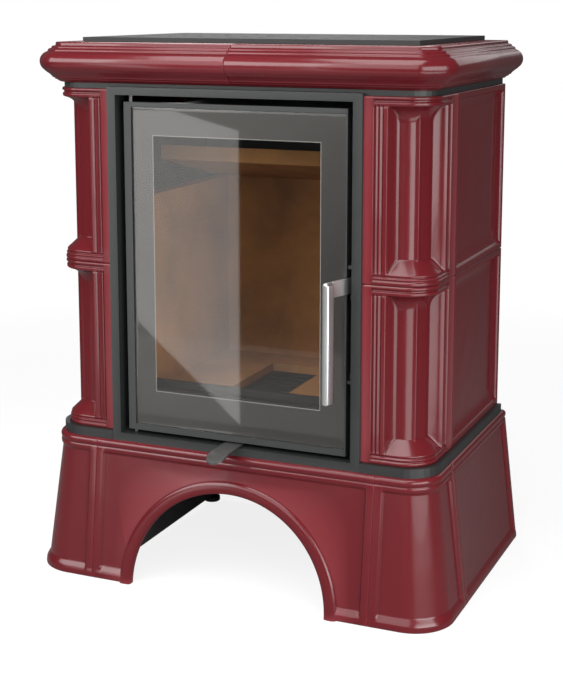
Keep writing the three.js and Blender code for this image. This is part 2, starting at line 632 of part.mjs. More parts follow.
// An arch ring between two radii, standing across the splayed front.
function archRing(inner, outer, y0, y1, steps) {
  const outline = [];
  for (let i = 0; i <= steps; i += 1) {
    const angle = Math.PI * (i / steps);
    outline.push([outer * Math.cos(angle), outer * Math.sin(angle)]);
  }
  for (let i = steps; i >= 0; i -= 1) {
    const angle = Math.PI * (i / steps);
    outline.push([inner * Math.cos(angle), inner * Math.sin(angle)]);
  }
  return loft([y0, y1].map((y) => outline.map(([x, z]) => {
    const lean = splayAt(z);
    return new Vector3(x, y - lean, z);
  })), inElevation);
}

function plinthFrontArch() {
  const arcSteps = 32;
  const loops = plinthCourses().map(([z, rim, panel]) => {
    const front = PLINTH_TOP_FRONT - splayAt(z);
    const edge = PLINTH_FRONT_JOINT;
    const outline = [[edge, front + rim], [edge - PLINTH_RIM, front + rim], [edge - PLINTH_RIM - 4, front + panel]];
    const across = [...outline].reverse().map(([x, y]) => [-x, y]);
    const back = [[-edge, front + PLINTH_WALL], [edge, front + PLINTH_WALL]];
    return [...outline, ...across, ...back].map(([x, y]) => new Vector3(x, y, z));
  });
  const slab = loft(loops, inPlan);
  const face = PLINTH_TOP_FRONT + 1;
  const bead = archRing(ARCH_RADIUS - 6, ARCH_RADIUS + ARCH_BEAD, face - ARCH_BEAD_PROUD, face + PLINTH_WALL - 2, arcSteps);
  const whole = join(slab, bead);
  const through = PLINTH_SPLAY + PLINTH_WALL + ARCH_BEAD;
  const front = PLINTH_TOP_FRONT - through;
  const back = PLINTH_TOP_FRONT + through;
  const mouth = levelRod(ARCH_RADIUS, 0, 0, front, back, 2 * arcSteps);
  const below = box(-PLINTH_FRONT_JOINT, PLINTH_FRONT_JOINT, front, back, -ARCH_BEAD, 0);
  return cut(whole, mouth, below);
}

function bandOutline(halfWidth, front, rear, radius) {
  const steps = 8;
  const right = [];
  for (let i = 0; i <= steps; i += 1) {
    const angle = (i / steps) * (Math.PI / 2);
    right.push([halfWidth - radius + radius * Math.sin(angle), front + radius - radius * Math.cos(angle)]);
  }
  right.push([halfWidth, rear]);
  const left = [...right].reverse().map(([x, y]) => [-x, y]);
  return [...right, ...left];
}

function shelfBand() {
  const skirt = BAND_SKIRT;
  const tray = plate(bandOutline(BAND_HALF_WIDTH, BAND_FRONT, CASING_REAR, BAND_RADIUS), BAND_BOTTOM, BAND_TOP);
  const inside = plate(
    bandOutline(BAND_HALF_WIDTH - skirt, BAND_FRONT + skirt + 40, CASING_REAR - skirt, BAND_RADIUS - skirt),
    BAND_BOTTOM - 5, BAND_TOP - BAND_TOP_SHEET,
  );
  const surroundNotch = box(
    -SURROUND_HALF_WIDTH - GAP, SURROUND_HALF_WIDTH + GAP, BAND_FRONT - 5, SURROUND_DEPTH + GAP,
    BAND_BOTTOM - 5, BAND_TOP + 5,
  );
  const airHole = box(
    -AIR_HOLE_HALF_WIDTH, AIR_HOLE_HALF_WIDTH, AIR_HOLE_FRONT, AIR_HOLE_FRONT + AIR_HOLE_LENGTH,
    BAND_BOTTOM - 5, BAND_TOP + 5,
  );
  return cut(tray, inside, surroundNotch, airHole);
}

function corniceCarrier() {
  const inset = 5;
  const width = 34;
  const half = CASING_HALF_WIDTH - inset;
  const front = CASING_FRONT + inset;
  const rear = REAR_PANEL_FRONT - GAP;
  const ring = plate(bandOutline(half, front, rear, CORNER_RADIUS - inset), CARRIER_BOTTOM, CARRIER_TOP);
  const hole = box(-half + width, half - width, front + width, rear - width, CARRIER_BOTTOM - 5, CARRIER_TOP + 5);
  const notch = box(
    -SURROUND_HALF_WIDTH - GAP, SURROUND_HALF_WIDTH + GAP, front - 5, SURROUND_DEPTH + GAP,
    CARRIER_BOTTOM - 5, SURROUND_TOP + GAP,
  );
  return cut(ring, hole, notch);
}

// ---------------------------------------------------------------- top plate
function petal(x, y, angle, length, width) {
  const outline = [];
  const points = 8;
  for (let i = 0; i < points; i += 1) {
    const turn = (i / points) * 2 * Math.PI;
    const local = new Vector2((length / 2) * Math.cos(turn), (width / 2) * Math.sin(turn) ** 3);
    local.rotateAround(new Vector2(), angle);
    outline.push([x + local.x, y + local.y]);
  }
  return plate(outline, TOP_PLATE_BOTTOM - 5, TOP_PLATE_BOTTOM + TOP_PLATE_THICKNESS + 5);
}

function topPlate() {
  const middleY = (TOP_PLATE_FRONT + TOP_PLATE_REAR) / 2;
  const slab = box(
    -TOP_PLATE_HALF_WIDTH, TOP_PLATE_HALF_WIDTH, TOP_PLATE_FRONT, TOP_PLATE_REAR,
    TOP_PLATE_BOTTOM, TOP_PLATE_BOTTOM + TOP_PLATE_THICKNESS,
  );
  const holes = [];
  const columns = Math.floor((TOP_PLATE_HALF_WIDTH - TOP_PLATE_RIM) / (2 * TOP_PLATE_PITCH));
  const rows = Math.floor((TOP_PLATE_REAR - middleY - TOP_PLATE_RIM) / (2 * TOP_PLATE_PITCH));
  for (let column = -columns; column <= columns; column += 1) {
    for (let row = -rows; row <= rows; row += 1) {
      const x = column * 2 * TOP_PLATE_PITCH;
      const y = middleY + row * 2 * TOP_PLATE_PITCH;
      const clear = Math.hypot(x, y - middleY) > ROSETTE_RADIUS + PETAL_LENGTH;
      if (clear) holes.push(petal(x, y, (column + row) % 2 ? 0.6 : -0.6, PETAL_LENGTH * 1.3, PETAL_WIDTH * 1.5));
    }
  }
  for (let i = 0; i < ROSETTE_PETALS; i += 1) {
    const turn = (i / ROSETTE_PETALS) * 2 * Math.PI;
    const reach = ROSETTE_RADIUS - PETAL_LENGTH;
    holes.push(petal(reach * Math.cos(turn), middleY + reach * Math.sin(turn), turn, PETAL_LENGTH, PETAL_WIDTH));
  }
  return cut(slab, ...holes);
}

// ---------------------------------------------------------------- surround and door
function surround() {
  const frame = box(
    -SURROUND_HALF_WIDTH, SURROUND_HALF_WIDTH, 0, SURROUND_DEPTH, SURROUND_BOTTOM, SURROUND_TOP,
  );
  const opening = box(
    -OPENING_HALF_WIDTH, OPENING_HALF_WIDTH, -5, SURROUND_DEPTH + 5, OPENING_BOTTOM, OPENING_TOP,
  );
  return cut(frame, opening);
}

function hingePocket(z0, z1) {
  return uprightRod(HINGE_PIN_RADIUS + HINGE_CLEARANCE, HINGE_X, HINGE_Y, z0, z1);
}

const GLASS_LEFT = -DOOR_HALF_WIDTH + GLASS_LEFT_MARGIN;
const GLASS_RIGHT = DOOR_HALF_WIDTH - GLASS_RIGHT_MARGIN;

function doorFrame() {
  const leaf = box(-DOOR_HALF_WIDTH, DOOR_HALF_WIDTH, DOOR_FACE, DOOR_BACK, DOOR_BOTTOM, DOOR_TOP);
  const pocket = box(
    GLASS_LEFT, GLASS_RIGHT, DOOR_FACE - 5, DOOR_FACE + GLASS_POCKET, DOOR_BOTTOM - 5, DOOR_TOP + 5,
  );
  const windowHole = box(
    -WINDOW_HALF_WIDTH, WINDOW_HALF_WIDTH, DOOR_FACE - 5, DOOR_BACK + 5, WINDOW_BOTTOM, WINDOW_TOP,
  );
  const lowerPin = hingePocket(DOOR_BOTTOM - 5, DOOR_BOTTOM + HINGE_ENGAGEMENT + 1);
  const upperPin = hingePocket(DOOR_TOP - HINGE_ENGAGEMENT - 1, DOOR_TOP + 5);
  return cut(leaf, pocket, windowHole, lowerPin, upperPin);
}

function glassPane() {
  return box(
    GLASS_LEFT + GAP, GLASS_RIGHT - GAP, DOOR_FACE + GAP, DOOR_FACE + GAP + GLASS_THICKNESS,
    DOOR_BOTTOM + BOTTOM_STRIP + GAP, DOOR_TOP - TOP_STRIP - GAP,
  );
}

function glassStrip(z0, z1) {
  return box(GLASS_LEFT + GAP, GLASS_RIGHT - GAP, DOOR_FACE - 0.5, DOOR_FACE + GLASS_POCKET - GAP, z0, z1);
}

function doorSeal() {
  const half = WINDOW_HALF_WIDTH + SEAL_MARGIN + SEAL_WIDTH;
  const bottom = DOOR_BOTTOM + 2;
  const top = MOUTH_TOP + SEAL_MARGIN;
  const outer = box(-half, half, DOOR_BACK + GAP, FIREBOX_FRONT - GAP, bottom, top);
  const hole = box(
    -half + SEAL_WIDTH, half - SEAL_WIDTH, DOOR_BACK - 5, FIREBOX_FRONT + 5, bottom + SEAL_WIDTH, top - SEAL_WIDTH,
  );
  return cut(outer, hole);
}

function hingePin(z0, z1) {
  return uprightRod(HINGE_PIN_RADIUS, HINGE_X, HINGE_Y, z0, z1);
}

// ---------------------------------------------------------------- latch
function latchSpindle() {
  return uprightRod(SPINDLE_RADIUS, SPINDLE_X, SPINDLE_DEPTH, SPINDLE_BOTTOM, SPINDLE_TOP, 12);
}

function spindleBore(z0, z1) {
  return uprightRod(SPINDLE_RADIUS + SPINDLE_CLEARANCE, SPINDLE_X, SPINDLE_DEPTH, z0, z1, 12);
}

function latchLug(z) {
  const lug = box(
    DOOR_HALF_WIDTH + GAP, OPENING_HALF_WIDTH - 0.8, SPINDLE_DEPTH - 6, SPINDLE_DEPTH + 6, z, z + LATCH_LUG_HEIGHT,
  );
  return cut(lug, spindleBore(z - 5, z + LATCH_LUG_HEIGHT + 5));
}

// A claw that points back at the keeper, clamped round the spindle.
function latchClaw(z) {
  const arm = box(
    SPINDLE_X - 2.5, SPINDLE_X + 2.5, SPINDLE_DEPTH, SPINDLE_DEPTH + LATCH_CLAW_LENGTH, z, z + LATCH_CLAW_HEIGHT,
  );
  const hub = uprightRod(SPINDLE_RADIUS + 1.5, SPINDLE_X, SPINDLE_DEPTH, z, z + LATCH_CLAW_HEIGHT, 12);
  return cut(join(hub, arm), spindleBore(z - 5, z + LATCH_CLAW_HEIGHT + 5));
}

function keeper(z) {
  const face = OPENING_HALF_WIDTH - GAP;
  return box(face - KEEPER_THICKNESS, face, SPINDLE_DEPTH + 4, SURROUND_DEPTH - 2, z - 3, z + LATCH_CLAW_HEIGHT + 3);
}

// The handle is drawn with the spindle at the origin and the bar straight ahead along
// -Y, then turned towards the door's middle and moved to the spindle.
function placedHandle(geometry) {
  return geometry.rotateZ(-THREE.MathUtils.degToRad(HANDLE_ANGLE)).translate(SPINDLE_X, SPINDLE_DEPTH, 0);
}

function handleArm() {
  const top = HANDLE_BAR_TOP;
  const bottom = top - HANDLE_ARM_HEIGHT;
  const half = HANDLE_ARM_THICKNESS / 2;
  const armEnd = -HANDLE_REACH + HANDLE_BAR_DEPTH / 2 + GAP;
  const arm = box(-half, half, armEnd, 0, bottom, top);
  const hub = uprightRod(SPINDLE_RADIUS + 1.6, 0, 0, bottom, top, 12);
  const bore = uprightRod(SPINDLE_RADIUS + SPINDLE_CLEARANCE, 0, 0, bottom - 5, top + 5, 12);
  return placedHandle(cut(join(hub, arm), bore));
}

function handleBar() {
  const halfWidth = HANDLE_BAR_WIDTH / 2;
  const round = halfWidth;
  const outline = [[-halfWidth, HANDLE_BAR_BOTTOM], [halfWidth, HANDLE_BAR_BOTTOM]];
  const steps = 8;
  for (let i = 0; i <= steps; i += 1) {
    const angle = Math.PI * (i / steps);
    outline.push([halfWidth * Math.cos(angle), HANDLE_BAR_TOP - round + round * Math.sin(angle)]);
  }
  const front = -HANDLE_REACH - HANDLE_BAR_DEPTH / 2;
  const back = -HANDLE_REACH + HANDLE_BAR_DEPTH / 2;
  return placedHandle(loft([front, back].map((y) => outline.map(([x, z]) => new Vector3(x, y, z))), inElevation));
}

// ---------------------------------------------------------------- air control
// A flat tongue that leaves through the gap below the door, with a drooping round tip.
function airLever() {
  const half = LEVER_WIDTH / 2;
  const rear = AIR_HOLE_FRONT - LEVER_TRAVEL - 10 - GAP;
  const droop = (y) => {
    const share = Math.min(1, Math.max(0, (LEVER_BEND - y) / (LEVER_BEND - LEVER_TIP)));
    return LEVER_DROOP * share * share;
  };
  const loops = [];
  const station = (y, halfWidth) => {
    const z = LEVER_BOTTOM - droop(y);
    loops.push([
      new Vector3(-halfWidth, y, z), new Vector3(halfWidth, y, z),
      new Vector3(halfWidth, y, z + LEVER_THICKNESS), new Vector3(-halfWidth, y, z + LEVER_THICKNESS),
    ]);
  };
  station(rear, half * 0.6);
  station(SURROUND_DEPTH, half * 0.6);
  station(SURROUND_DEPTH - 25, half);
  station(LEVER_BEND, half);
  const roundStart = LEVER_TIP + half;
  const steps = 8;
  for (let i = 0; i <= steps; i += 1) {
    const angle = (i / steps) * (Math.PI / 2) * 0.97;
    station(roundStart - half * Math.sin(angle), half * Math.cos(angle));
  }
  const tip = loops[loops.length - 1];
  const slip = LEVER_TIP - tip[0].y;
  tip.forEach((point) => { point.y += slip; });
  return loft(loops, (point) => new Vector2(point.x, point.z));
}

function airSlide() {
  const front = AIR_HOLE_FRONT - LEVER_TRAVEL - 10;
  return box(
    -AIR_HOLE_HALF_WIDTH - AIR_SLIDE_OVERLAP, AIR_HOLE_HALF_WIDTH + AIR_SLIDE_OVERLAP,
    front, AIR_HOLE_FRONT - 3, LEVER_BOTTOM, LEVER_BOTTOM + LEVER_THICKNESS,
  );
}

// ---------------------------------------------------------------- firebox
function fireboxShell() {
  const wall = FIREBOX_WALL;
  const body = box(
    -FIREBOX_HALF_WIDTH, FIREBOX_HALF_WIDTH, FIREBOX_FRONT, FIREBOX_REAR, FIREBOX_BOTTOM, FIREBOX_TOP,
  );
  const inside = box(
    -FIREBOX_HALF_WIDTH + wall, FIREBOX_HALF_WIDTH - wall, FIREBOX_FRONT + wall, FIREBOX_REAR - wall,
    FIREBOX_BOTTOM + wall, FIREBOX_TOP - wall,
  );
  const mouth = box(
    -MOUTH_HALF_WIDTH, MOUTH_HALF_WIDTH, FIREBOX_FRONT - 5, FIREBOX_FRONT + wall + 5, MOUTH_BOTTOM, MOUTH_TOP,
  );
  const ashMouth = box(
    -ASH_DOOR_HALF_WIDTH, ASH_DOOR_HALF_WIDTH, FIREBOX_FRONT - 5, FIREBOX_FRONT + wall + 5,
    FIREBOX_BOTTOM + wall, ASH_DOOR_TOP,
  );
  const flueHole = levelRod(
    FLUE_RADIUS - FLUE_WALL, 0, FLUE_HEIGHT, FIREBOX_REAR - wall - 5, FIREBOX_REAR + 5, FLUE_SIDES,
  );
  const airHole = box(
    -AIR_HOLE_HALF_WIDTH, AIR_HOLE_HALF_WIDTH, AIR_HOLE_FRONT, AIR_HOLE_FRONT + AIR_HOLE_LENGTH,
    FIREBOX_BOTTOM - 5, FIREBOX_BOTTOM + wall + 5,
  );
  const frontPlate = box(
    -FIREBOX_HALF_WIDTH, FIREBOX_HALF_WIDTH, FIREBOX_FRONT, FIREBOX_FRONT + wall, DOOR_BOTTOM - GAP,
    FIREBOX_BOTTOM + wall / 2,
  );
  return cut(join(body, frontPlate), inside, mouth, ashMouth, flueHole, airHole);
}

function hearthPlate() {
  const slab = box(
    -CHAMBER_HALF_WIDTH, CHAMBER_HALF_WIDTH, CHAMBER_FRONT, CHAMBER_REAR,
    HEARTH_PLATE_TOP - HEARTH_PLATE, HEARTH_PLATE_TOP,
  );
  const hole = box(
    -GRATE_HALF_WIDTH + 10, GRATE_HALF_WIDTH - 10, GRATE_FRONT + 10, GRATE_REAR - 10,
    HEARTH_PLATE_TOP - HEARTH_PLATE - 5, HEARTH_PLATE_TOP + 5,
  );
  return cut(slab, hole);
}

function grate() {
  const top = HEARTH_PLATE_TOP + GAP + GRATE_THICKNESS;
  const bars = box(
    -GRATE_HALF_WIDTH + GAP, GRATE_HALF_WIDTH - GAP, GRATE_FRONT + GAP, GRATE_REAR - GAP,
    HEARTH_PLATE_TOP + GAP, top,
  );
  const slots = [];
  const pitch = (GRATE_REAR - GRATE_FRONT - 20) / GRATE_SLOTS;
  for (let i = 0; i < GRATE_SLOTS; i += 1) {
    const middle = GRATE_FRONT + 10 + (i + 0.5) * pitch;
    slots.push(box(
      -GRATE_HALF_WIDTH + 14, GRATE_HALF_WIDTH - 14, middle - GRATE_SLOT_WIDTH / 2, middle + GRATE_SLOT_WIDTH / 2,
      HEARTH_PLATE_TOP - 5, top + 5,
    ));
  }
  return cut(bars, ...slots);
}

const SIDE_LINING_FACE = CHAMBER_HALF_WIDTH - LINING;

function hearthHalf() {
  const slab = box(
    GAP, SIDE_LINING_FACE - GAP, CHAMBER_FRONT, CHAMBER_REAR - LINING - GAP, HEARTH_PLATE_TOP + GAP, HEARTH_TOP,
  );
  const seat = box(
    -5, GRATE_HALF_WIDTH, GRATE_FRONT, GRATE_REAR, HEARTH_PLATE_TOP - 5, HEARTH_TOP + 5,
  );
  return cut(slab, seat);
}

function sideLining() {
  return box(
    SIDE_LINING_FACE, CHAMBER_HALF_WIDTH, CHAMBER_FRONT, CHAMBER_REAR, HEARTH_PLATE_TOP + GAP, LINING_TOP,
  );
}

function backLining() {
  return box(
    -SIDE_LINING_FACE + GAP, SIDE_LINING_FACE - GAP, CHAMBER_REAR - LINING, CHAMBER_REAR,
    HEARTH_PLATE_TOP + GAP, LINING_TOP,
  );
}

function baffle() {
  const bottom = LINING_TOP + GAP;
  const section = [
    [CHAMBER_REAR - 3, bottom], [CHAMBER_REAR - 3, bottom + BAFFLE_THICKNESS],
    [BAFFLE_FRONT, bottom + BAFFLE_THICKNESS + BAFFLE_RISE], [BAFFLE_FRONT, bottom + BAFFLE_RISE],
    [CHAMBER_REAR - LINING, bottom],
  ];
  const half = CHAMBER_HALF_WIDTH;
  return loft([-half, half].map((x) => section.map(([y, z]) => new Vector3(x, y, z))), inSection);
}

function smokeDeflector() {
  const bottom = LINING_TOP + BAFFLE_THICKNESS + BAFFLE_RISE + 38;
  return box(
    -CHAMBER_HALF_WIDTH, CHAMBER_HALF_WIDTH, CHAMBER_FRONT, DEFLECTOR_REAR, bottom, bottom + DEFLECTOR_THICKNESS,
  );
}

function logGuard() {
  const front = CHAMBER_FRONT + 6;
  return box(
    -SIDE_LINING_FACE + GAP, SIDE_LINING_FACE - GAP, front, front + GUARD_THICKNESS, HEARTH_TOP + GAP,
    HEARTH_TOP + GAP + GUARD_HEIGHT,
  );
}

function ashPan() {
  const bottom = FIREBOX_BOTTOM + FIREBOX_WALL + GAP;
  const top = bottom + ASH_PAN_HEIGHT;
  const front = CHAMBER_FRONT + ASH_PAN_FRONT_PLAY;
  const wall = ASH_PAN_WALL;
  const tray = box(-ASH_PAN_HALF_WIDTH, ASH_PAN_HALF_WIDTH, front, ASH_PAN_REAR, bottom, top);
  const inside = box(
    -ASH_PAN_HALF_WIDTH + wall, ASH_PAN_HALF_WIDTH - wall, front + wall, ASH_PAN_REAR - wall, bottom + wall, top + 5,
  );
  return cut(tray, inside);
}

function flueCollar() {
  const start = FIREBOX_REAR + GAP;
  const inner = FLUE_RADIUS - FLUE_WALL;
  const profile = [
    [inner, start], [FLUE_RADIUS + FLUE_FLANGE, start], [FLUE_RADIUS + FLUE_FLANGE, start + 4],
    [FLUE_RADIUS, start + 4], [FLUE_RADIUS, FLUE_REAR], [inner, FLUE_REAR], [inner, start],
  ].map(([radius, along]) => new Vector2(radius, along));
  return new THREE.LatheGeometry(profile, FLUE_SIDES).translate(0, 0, FLUE_HEIGHT);
}

// The sheet between the side tiles, with a narrower tab that stands up between the
// cornice halves and carries the back of the top plate.
function rearPanel() {
  const rear = REAR_PANEL_FRONT + REAR_PANEL_THICKNESS;
  const sheetHalf = CASING_HALF_WIDTH - SIDE_TILE_THICKNESS - 1;
  const tabHalf = CASING_HALF_WIDTH - CORNICE_DEPTH - 1;
  const sheet = box(-sheetHalf, sheetHalf, REAR_PANEL_FRONT, rear, BAND_TOP + GAP, CORNICE_BOTTOM - GAP);
  const tab = box(-tabHalf, tabHalf, REAR_PANEL_FRONT, rear, CORNICE_BOTTOM - 10, TOP_PLATE_BOTTOM - GAP);
  const hole = levelRod(
    FLUE_RADIUS + REAR_PANEL_FLUE_CLEARANCE, 0, FLUE_HEIGHT, REAR_PANEL_FRONT - 5, rear + 5, FLUE_SIDES,
  );
  return cut(join(sheet, tab), hole);
}

function airDuct() {
  const wall = DUCT_WALL;
  const front = AIR_HOLE_FRONT - 12;
  const rear = CASING_REAR - BAND_SKIRT - GAP;
  const channel = box(-DUCT_HALF_WIDTH, DUCT_HALF_WIDTH, front, rear, DUCT_BOTTOM, DUCT_TOP);
  const inside = box(
    -DUCT_HALF_WIDTH + wall, DUCT_HALF_WIDTH - wall, front + wall, rear + 5, DUCT_BOTTOM + wall, DUCT_TOP + 5,
  );
  return cut(channel, inside);
}

// ---------------------------------------------------------------- niche
function nicheSide() {
  return box(
    NICHE_HALF_WIDTH, NICHE_HALF_WIDTH + NICHE_SHEET, NICHE_FRONT, NICHE_REAR, NICHE_FLOOR, PLINTH_HEIGHT - GAP,
  );
}

function nicheCeiling() {
  return box(
    -NICHE_HALF_WIDTH + GAP, NICHE_HALF_WIDTH - GAP, NICHE_FRONT, NICHE_REAR, NICHE_CEILING,
    NICHE_CEILING + NICHE_SHEET,
  );
}

function nicheBack() {
  return box(
    -NICHE_HALF_WIDTH - NICHE_SHEET, NICHE_HALF_WIDTH + NICHE_SHEET, NICHE_REAR + GAP,
    NICHE_REAR + GAP + NICHE_SHEET, NICHE_FLOOR, NICHE_CEILING + NICHE_SHEET,
  );
}

function levellingFoot(x, y) {
  return uprightRod(FOOT_RADIUS, x, y, 0, FOOT_HEIGHT, 16);
}

// ---------------------------------------------------------------- assembly
const stove = new THREE.Group();
const depthShift = -(LEVER_TIP + FLUE_REAR) / 2; // puts the middle of the depth over the origin
stove.position.set(0, depthShift, 0);

function add(name, geometry, material) {
  const mesh = new THREE.Mesh(geometry, material);
  mesh.name = name;
  stove.add(mesh);
}

function addPair(name, geometry, finish) {
  add(`${name}_right`, geometry, finish());
  add(`${name}_left`, mirrored(geometry), finish());
}

addPair('plinth_corner', plinthCorner(), glaze);
addPair('plinth_side', plinthSide(), glaze);
add('plinth_front_arch', plinthFrontArch(), glaze());
addPair('lower_corner_tile', cornerTile(LOWER_ROW_BOTTOM, LOWER_ROW_HEIGHT), glaze);
addPair('upper_corner_tile', cornerTile(UPPER_ROW_BOTTOM, UPPER_ROW_HEIGHT), glaze);
addPair('lower_side_tile', sideTile(LOWER_ROW_BOTTOM, LOWER_ROW_HEIGHT), glaze);
addPair('upper_side_tile', sideTile(UPPER_ROW_BOTTOM, UPPER_ROW_HEIGHT), glaze);
addPair('cornice', corniceHalf(), glaze);
add('shelf_band', shelfBand(), enamel());
add('cornice_carrier', corniceCarrier(), enamel());
add('top_plate', topPlate(), castIron());
add('rear_panel', rearPanel(), enamel());

add('door_surround', surround(), enamel());
add('hinge_pin_lower', hingePin(OPENING_BOTTOM + GAP, DOOR_BOTTOM + HINGE_ENGAGEMENT), steel());
add('hinge_pin_upper', hingePin(DOOR_TOP - HINGE_ENGAGEMENT, OPENING_TOP - GAP), steel());
add('door_frame', doorFrame(), enamel());
add('door_glass', glassPane(), ceramicGlass());
add('glass_strip_top', glassStrip(DOOR_TOP - TOP_STRIP, DOOR_TOP), enamel());
add('glass_strip_bottom', glassStrip(DOOR_BOTTOM, DOOR_BOTTOM + BOTTOM_STRIP), enamel());
add('door_seal', doorSeal(), rope());

const lowerLug = SPINDLE_BOTTOM + 6;
const upperLug = SPINDLE_TOP - LATCH_LUG_HEIGHT - 6;
const lowerClaw = lowerLug + LATCH_LUG_HEIGHT + 4;
const upperClaw = HANDLE_BAR_TOP - HANDLE_ARM_HEIGHT - LATCH_CLAW_HEIGHT - 4;
add('latch_lug_lower', latchLug(lowerLug), enamel());
add('latch_lug_upper', latchLug(upperLug), enamel());
add('latch_spindle', latchSpindle(), steel());
add('latch_claw_lower', latchClaw(lowerClaw), steel());
add('latch_claw_upper', latchClaw(upperClaw), steel());
add('latch_keeper_lower', keeper(lowerClaw), steel());
add('latch_keeper_upper', keeper(upperClaw), steel());
add('handle_arm', handleArm(), steel());
add('handle_bar', handleBar(), steel());

add('air_lever', airLever(), steel());
add('air_slide', airSlide(), steel());
add('air_duct', airDuct(), enamel());

add('firebox_shell', fireboxShell(), enamel());
add('hearth_plate', hearthPlate(), castIron());
add('grate', grate(), castIron());
addPair('hearth_lining', hearthHalf(), vermiculite);
addPair('side_lining', sideLining(), vermiculite);
add('back_lining', backLining(), vermiculite());
add('baffle', baffle(), vermiculite());
add('smoke_deflector', smokeDeflector(), enamel());
add('log_guard', logGuard(), castIron());
add('ash_pan', ashPan(), enamel());
add('flue_collar', flueCollar(), enamel());

addPair('niche_side', nicheSide(), enamel);
add('niche_ceiling', nicheCeiling(), enamel());
add('niche_back', nicheBack(), enamel());
const footX = NICHE_HALF_WIDTH + NICHE_SHEET / 2;
addPair('front_foot', levellingFoot(footX, NICHE_FRONT + FOOT_RADIUS), castIron);
addPair('rear_foot', levellingFoot(footX, NICHE_REAR - FOOT_RADIUS), castIron);

export default stove;
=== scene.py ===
"""Tiled wood stove: glazed casing, glazed door, steel firebox and the studio it stands in.

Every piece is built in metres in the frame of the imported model. Sizes that a user may
change stand in the property groups, in millimetres, and places come from the frame.
"""

import math

import bmesh
import bpy
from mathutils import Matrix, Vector


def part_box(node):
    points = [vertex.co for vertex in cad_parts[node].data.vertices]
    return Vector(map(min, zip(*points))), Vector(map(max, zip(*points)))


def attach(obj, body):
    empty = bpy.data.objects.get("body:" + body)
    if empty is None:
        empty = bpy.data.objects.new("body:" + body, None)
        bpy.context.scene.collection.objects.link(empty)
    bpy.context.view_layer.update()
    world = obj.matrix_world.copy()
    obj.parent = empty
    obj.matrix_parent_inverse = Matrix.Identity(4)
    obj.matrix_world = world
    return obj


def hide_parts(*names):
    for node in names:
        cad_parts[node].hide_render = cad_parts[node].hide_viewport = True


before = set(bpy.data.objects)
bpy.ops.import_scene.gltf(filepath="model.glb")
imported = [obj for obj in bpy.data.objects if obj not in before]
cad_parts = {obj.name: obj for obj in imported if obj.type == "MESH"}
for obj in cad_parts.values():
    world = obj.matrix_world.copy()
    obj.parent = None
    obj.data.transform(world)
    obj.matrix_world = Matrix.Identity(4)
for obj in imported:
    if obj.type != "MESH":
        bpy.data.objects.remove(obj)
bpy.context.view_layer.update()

bl_info = {
    "name": "Tiled stove",
    "version": (1, 0, 0),
    "blender": (4, 5, 0),
    "location": "View3D > Sidebar > Tiled stove",
    "description": "Builds a glazed tiled wood stove round its packed model",
    "category": "Object",
}

MM = 0.001
MERGE_DISTANCE = 1e-6  # metres
LONGEST_ROUNDING = 0.45  # share of a side
WHITE = (1.0, 1.0, 1.0)
BEVELLED_ANGLE = 35.0  # degrees; a sharper edge of a CAD node gets rounded


# ---- places from the frame
def span(node):
    """Lowest and highest corner of a node, in millimetres."""
    low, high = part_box(node)
    return [v / MM for v in low], [v / MM for v in high]


def middle(node):
    """The middle of a node's box, in millimetres."""
    return [(a + b) / 2 for a, b in zip(*span(node))]


CASING_HALF_WIDTH = span("lower_corner_tile_right")[1][0]
CASING_FRONT = span("lower_corner_tile_right")[0][1]
FRONT_RUN = CASING_HALF_WIDTH - span("lower_corner_tile_right")[0][0]
SIDE_RUN = span("lower_corner_tile_right")[1][1] - CASING_FRONT
PLINTH_HEIGHT = span("plinth_corner_right")[1][2]


# ---- mesh helpers
def shade(mesh, sharp_degrees):
    """Smooth shading, but for the edges that are sharper than that angle."""
    mesh.polygons.foreach_set("use_smooth", [True] * len(mesh.polygons))
    mesh.set_sharp_from_angle(angle=math.radians(sharp_degrees))


def loft(name, loops, ring=False, sharp_degrees=40.0):
    """A closed mesh through loops of points in millimetres that have the same count.

    A ring runs on from its last loop to its first, and anything else has capped ends.
    """
    count = len(loops[0])
    vertices = [(x * MM, y * MM, z * MM) for loop in loops for x, y, z in loop]
    faces = []
    for row in range(len(loops) if ring else len(loops) - 1):
        above = (row + 1) % len(loops)
        for i in range(count):
            j = (i + 1) % count
            faces.append((row * count + i, row * count + j, above * count + j, above * count + i))
    if not ring:
        faces.append(tuple(range(count)))
        faces.append(tuple(range(len(vertices) - 1, len(vertices) - count - 1, -1)))
    mesh = bpy.data.meshes.new(name)
    mesh.from_pydata(vertices, [], faces)
    shape = bmesh.new()
    shape.from_mesh(mesh)
    bmesh.ops.remove_doubles(shape, verts=shape.verts, dist=MERGE_DISTANCE)
    bmesh.ops.dissolve_degenerate(shape, edges=shape.edges, dist=MERGE_DISTANCE)
    bmesh.ops.recalc_face_normals(shape, faces=shape.faces)
    shape.to_mesh(mesh)
    shape.free()
    shade(mesh, sharp_degrees)
    piece = bpy.data.objects.new(name, mesh)
    bpy.context.scene.collection.objects.link(piece)
    return piece


def full_turn(steps):
    """Angles in equal steps round a circle."""
    return [2 * math.pi * i / steps for i in range(steps)]


def turned(name, profile, centre, upright=True, steps=40):
    """A closed profile of (radius, along) spun about an upright axis, or about one that runs back."""
    loops = []
    for turn in full_turn(steps):
        loop = []
        for radius, along in profile:
            u = radius * math.cos(turn)
            v = radius * math.sin(turn)
            if upright:
                loop.append((centre[0] + u, centre[1] + v, along))
            else:
                loop.append((centre[0] + u, along, centre[2] + v))
        loops.append(loop)
    return loft(name, loops, ring=True)


def bend_point(start, corner, end, t):
    """The point at share t of the curve that rounds a corner."""
    return [(1 - t) ** 2 * a + 2 * t * (1 - t) * b + t * t * c for a, b, c in zip(start, corner, end)]


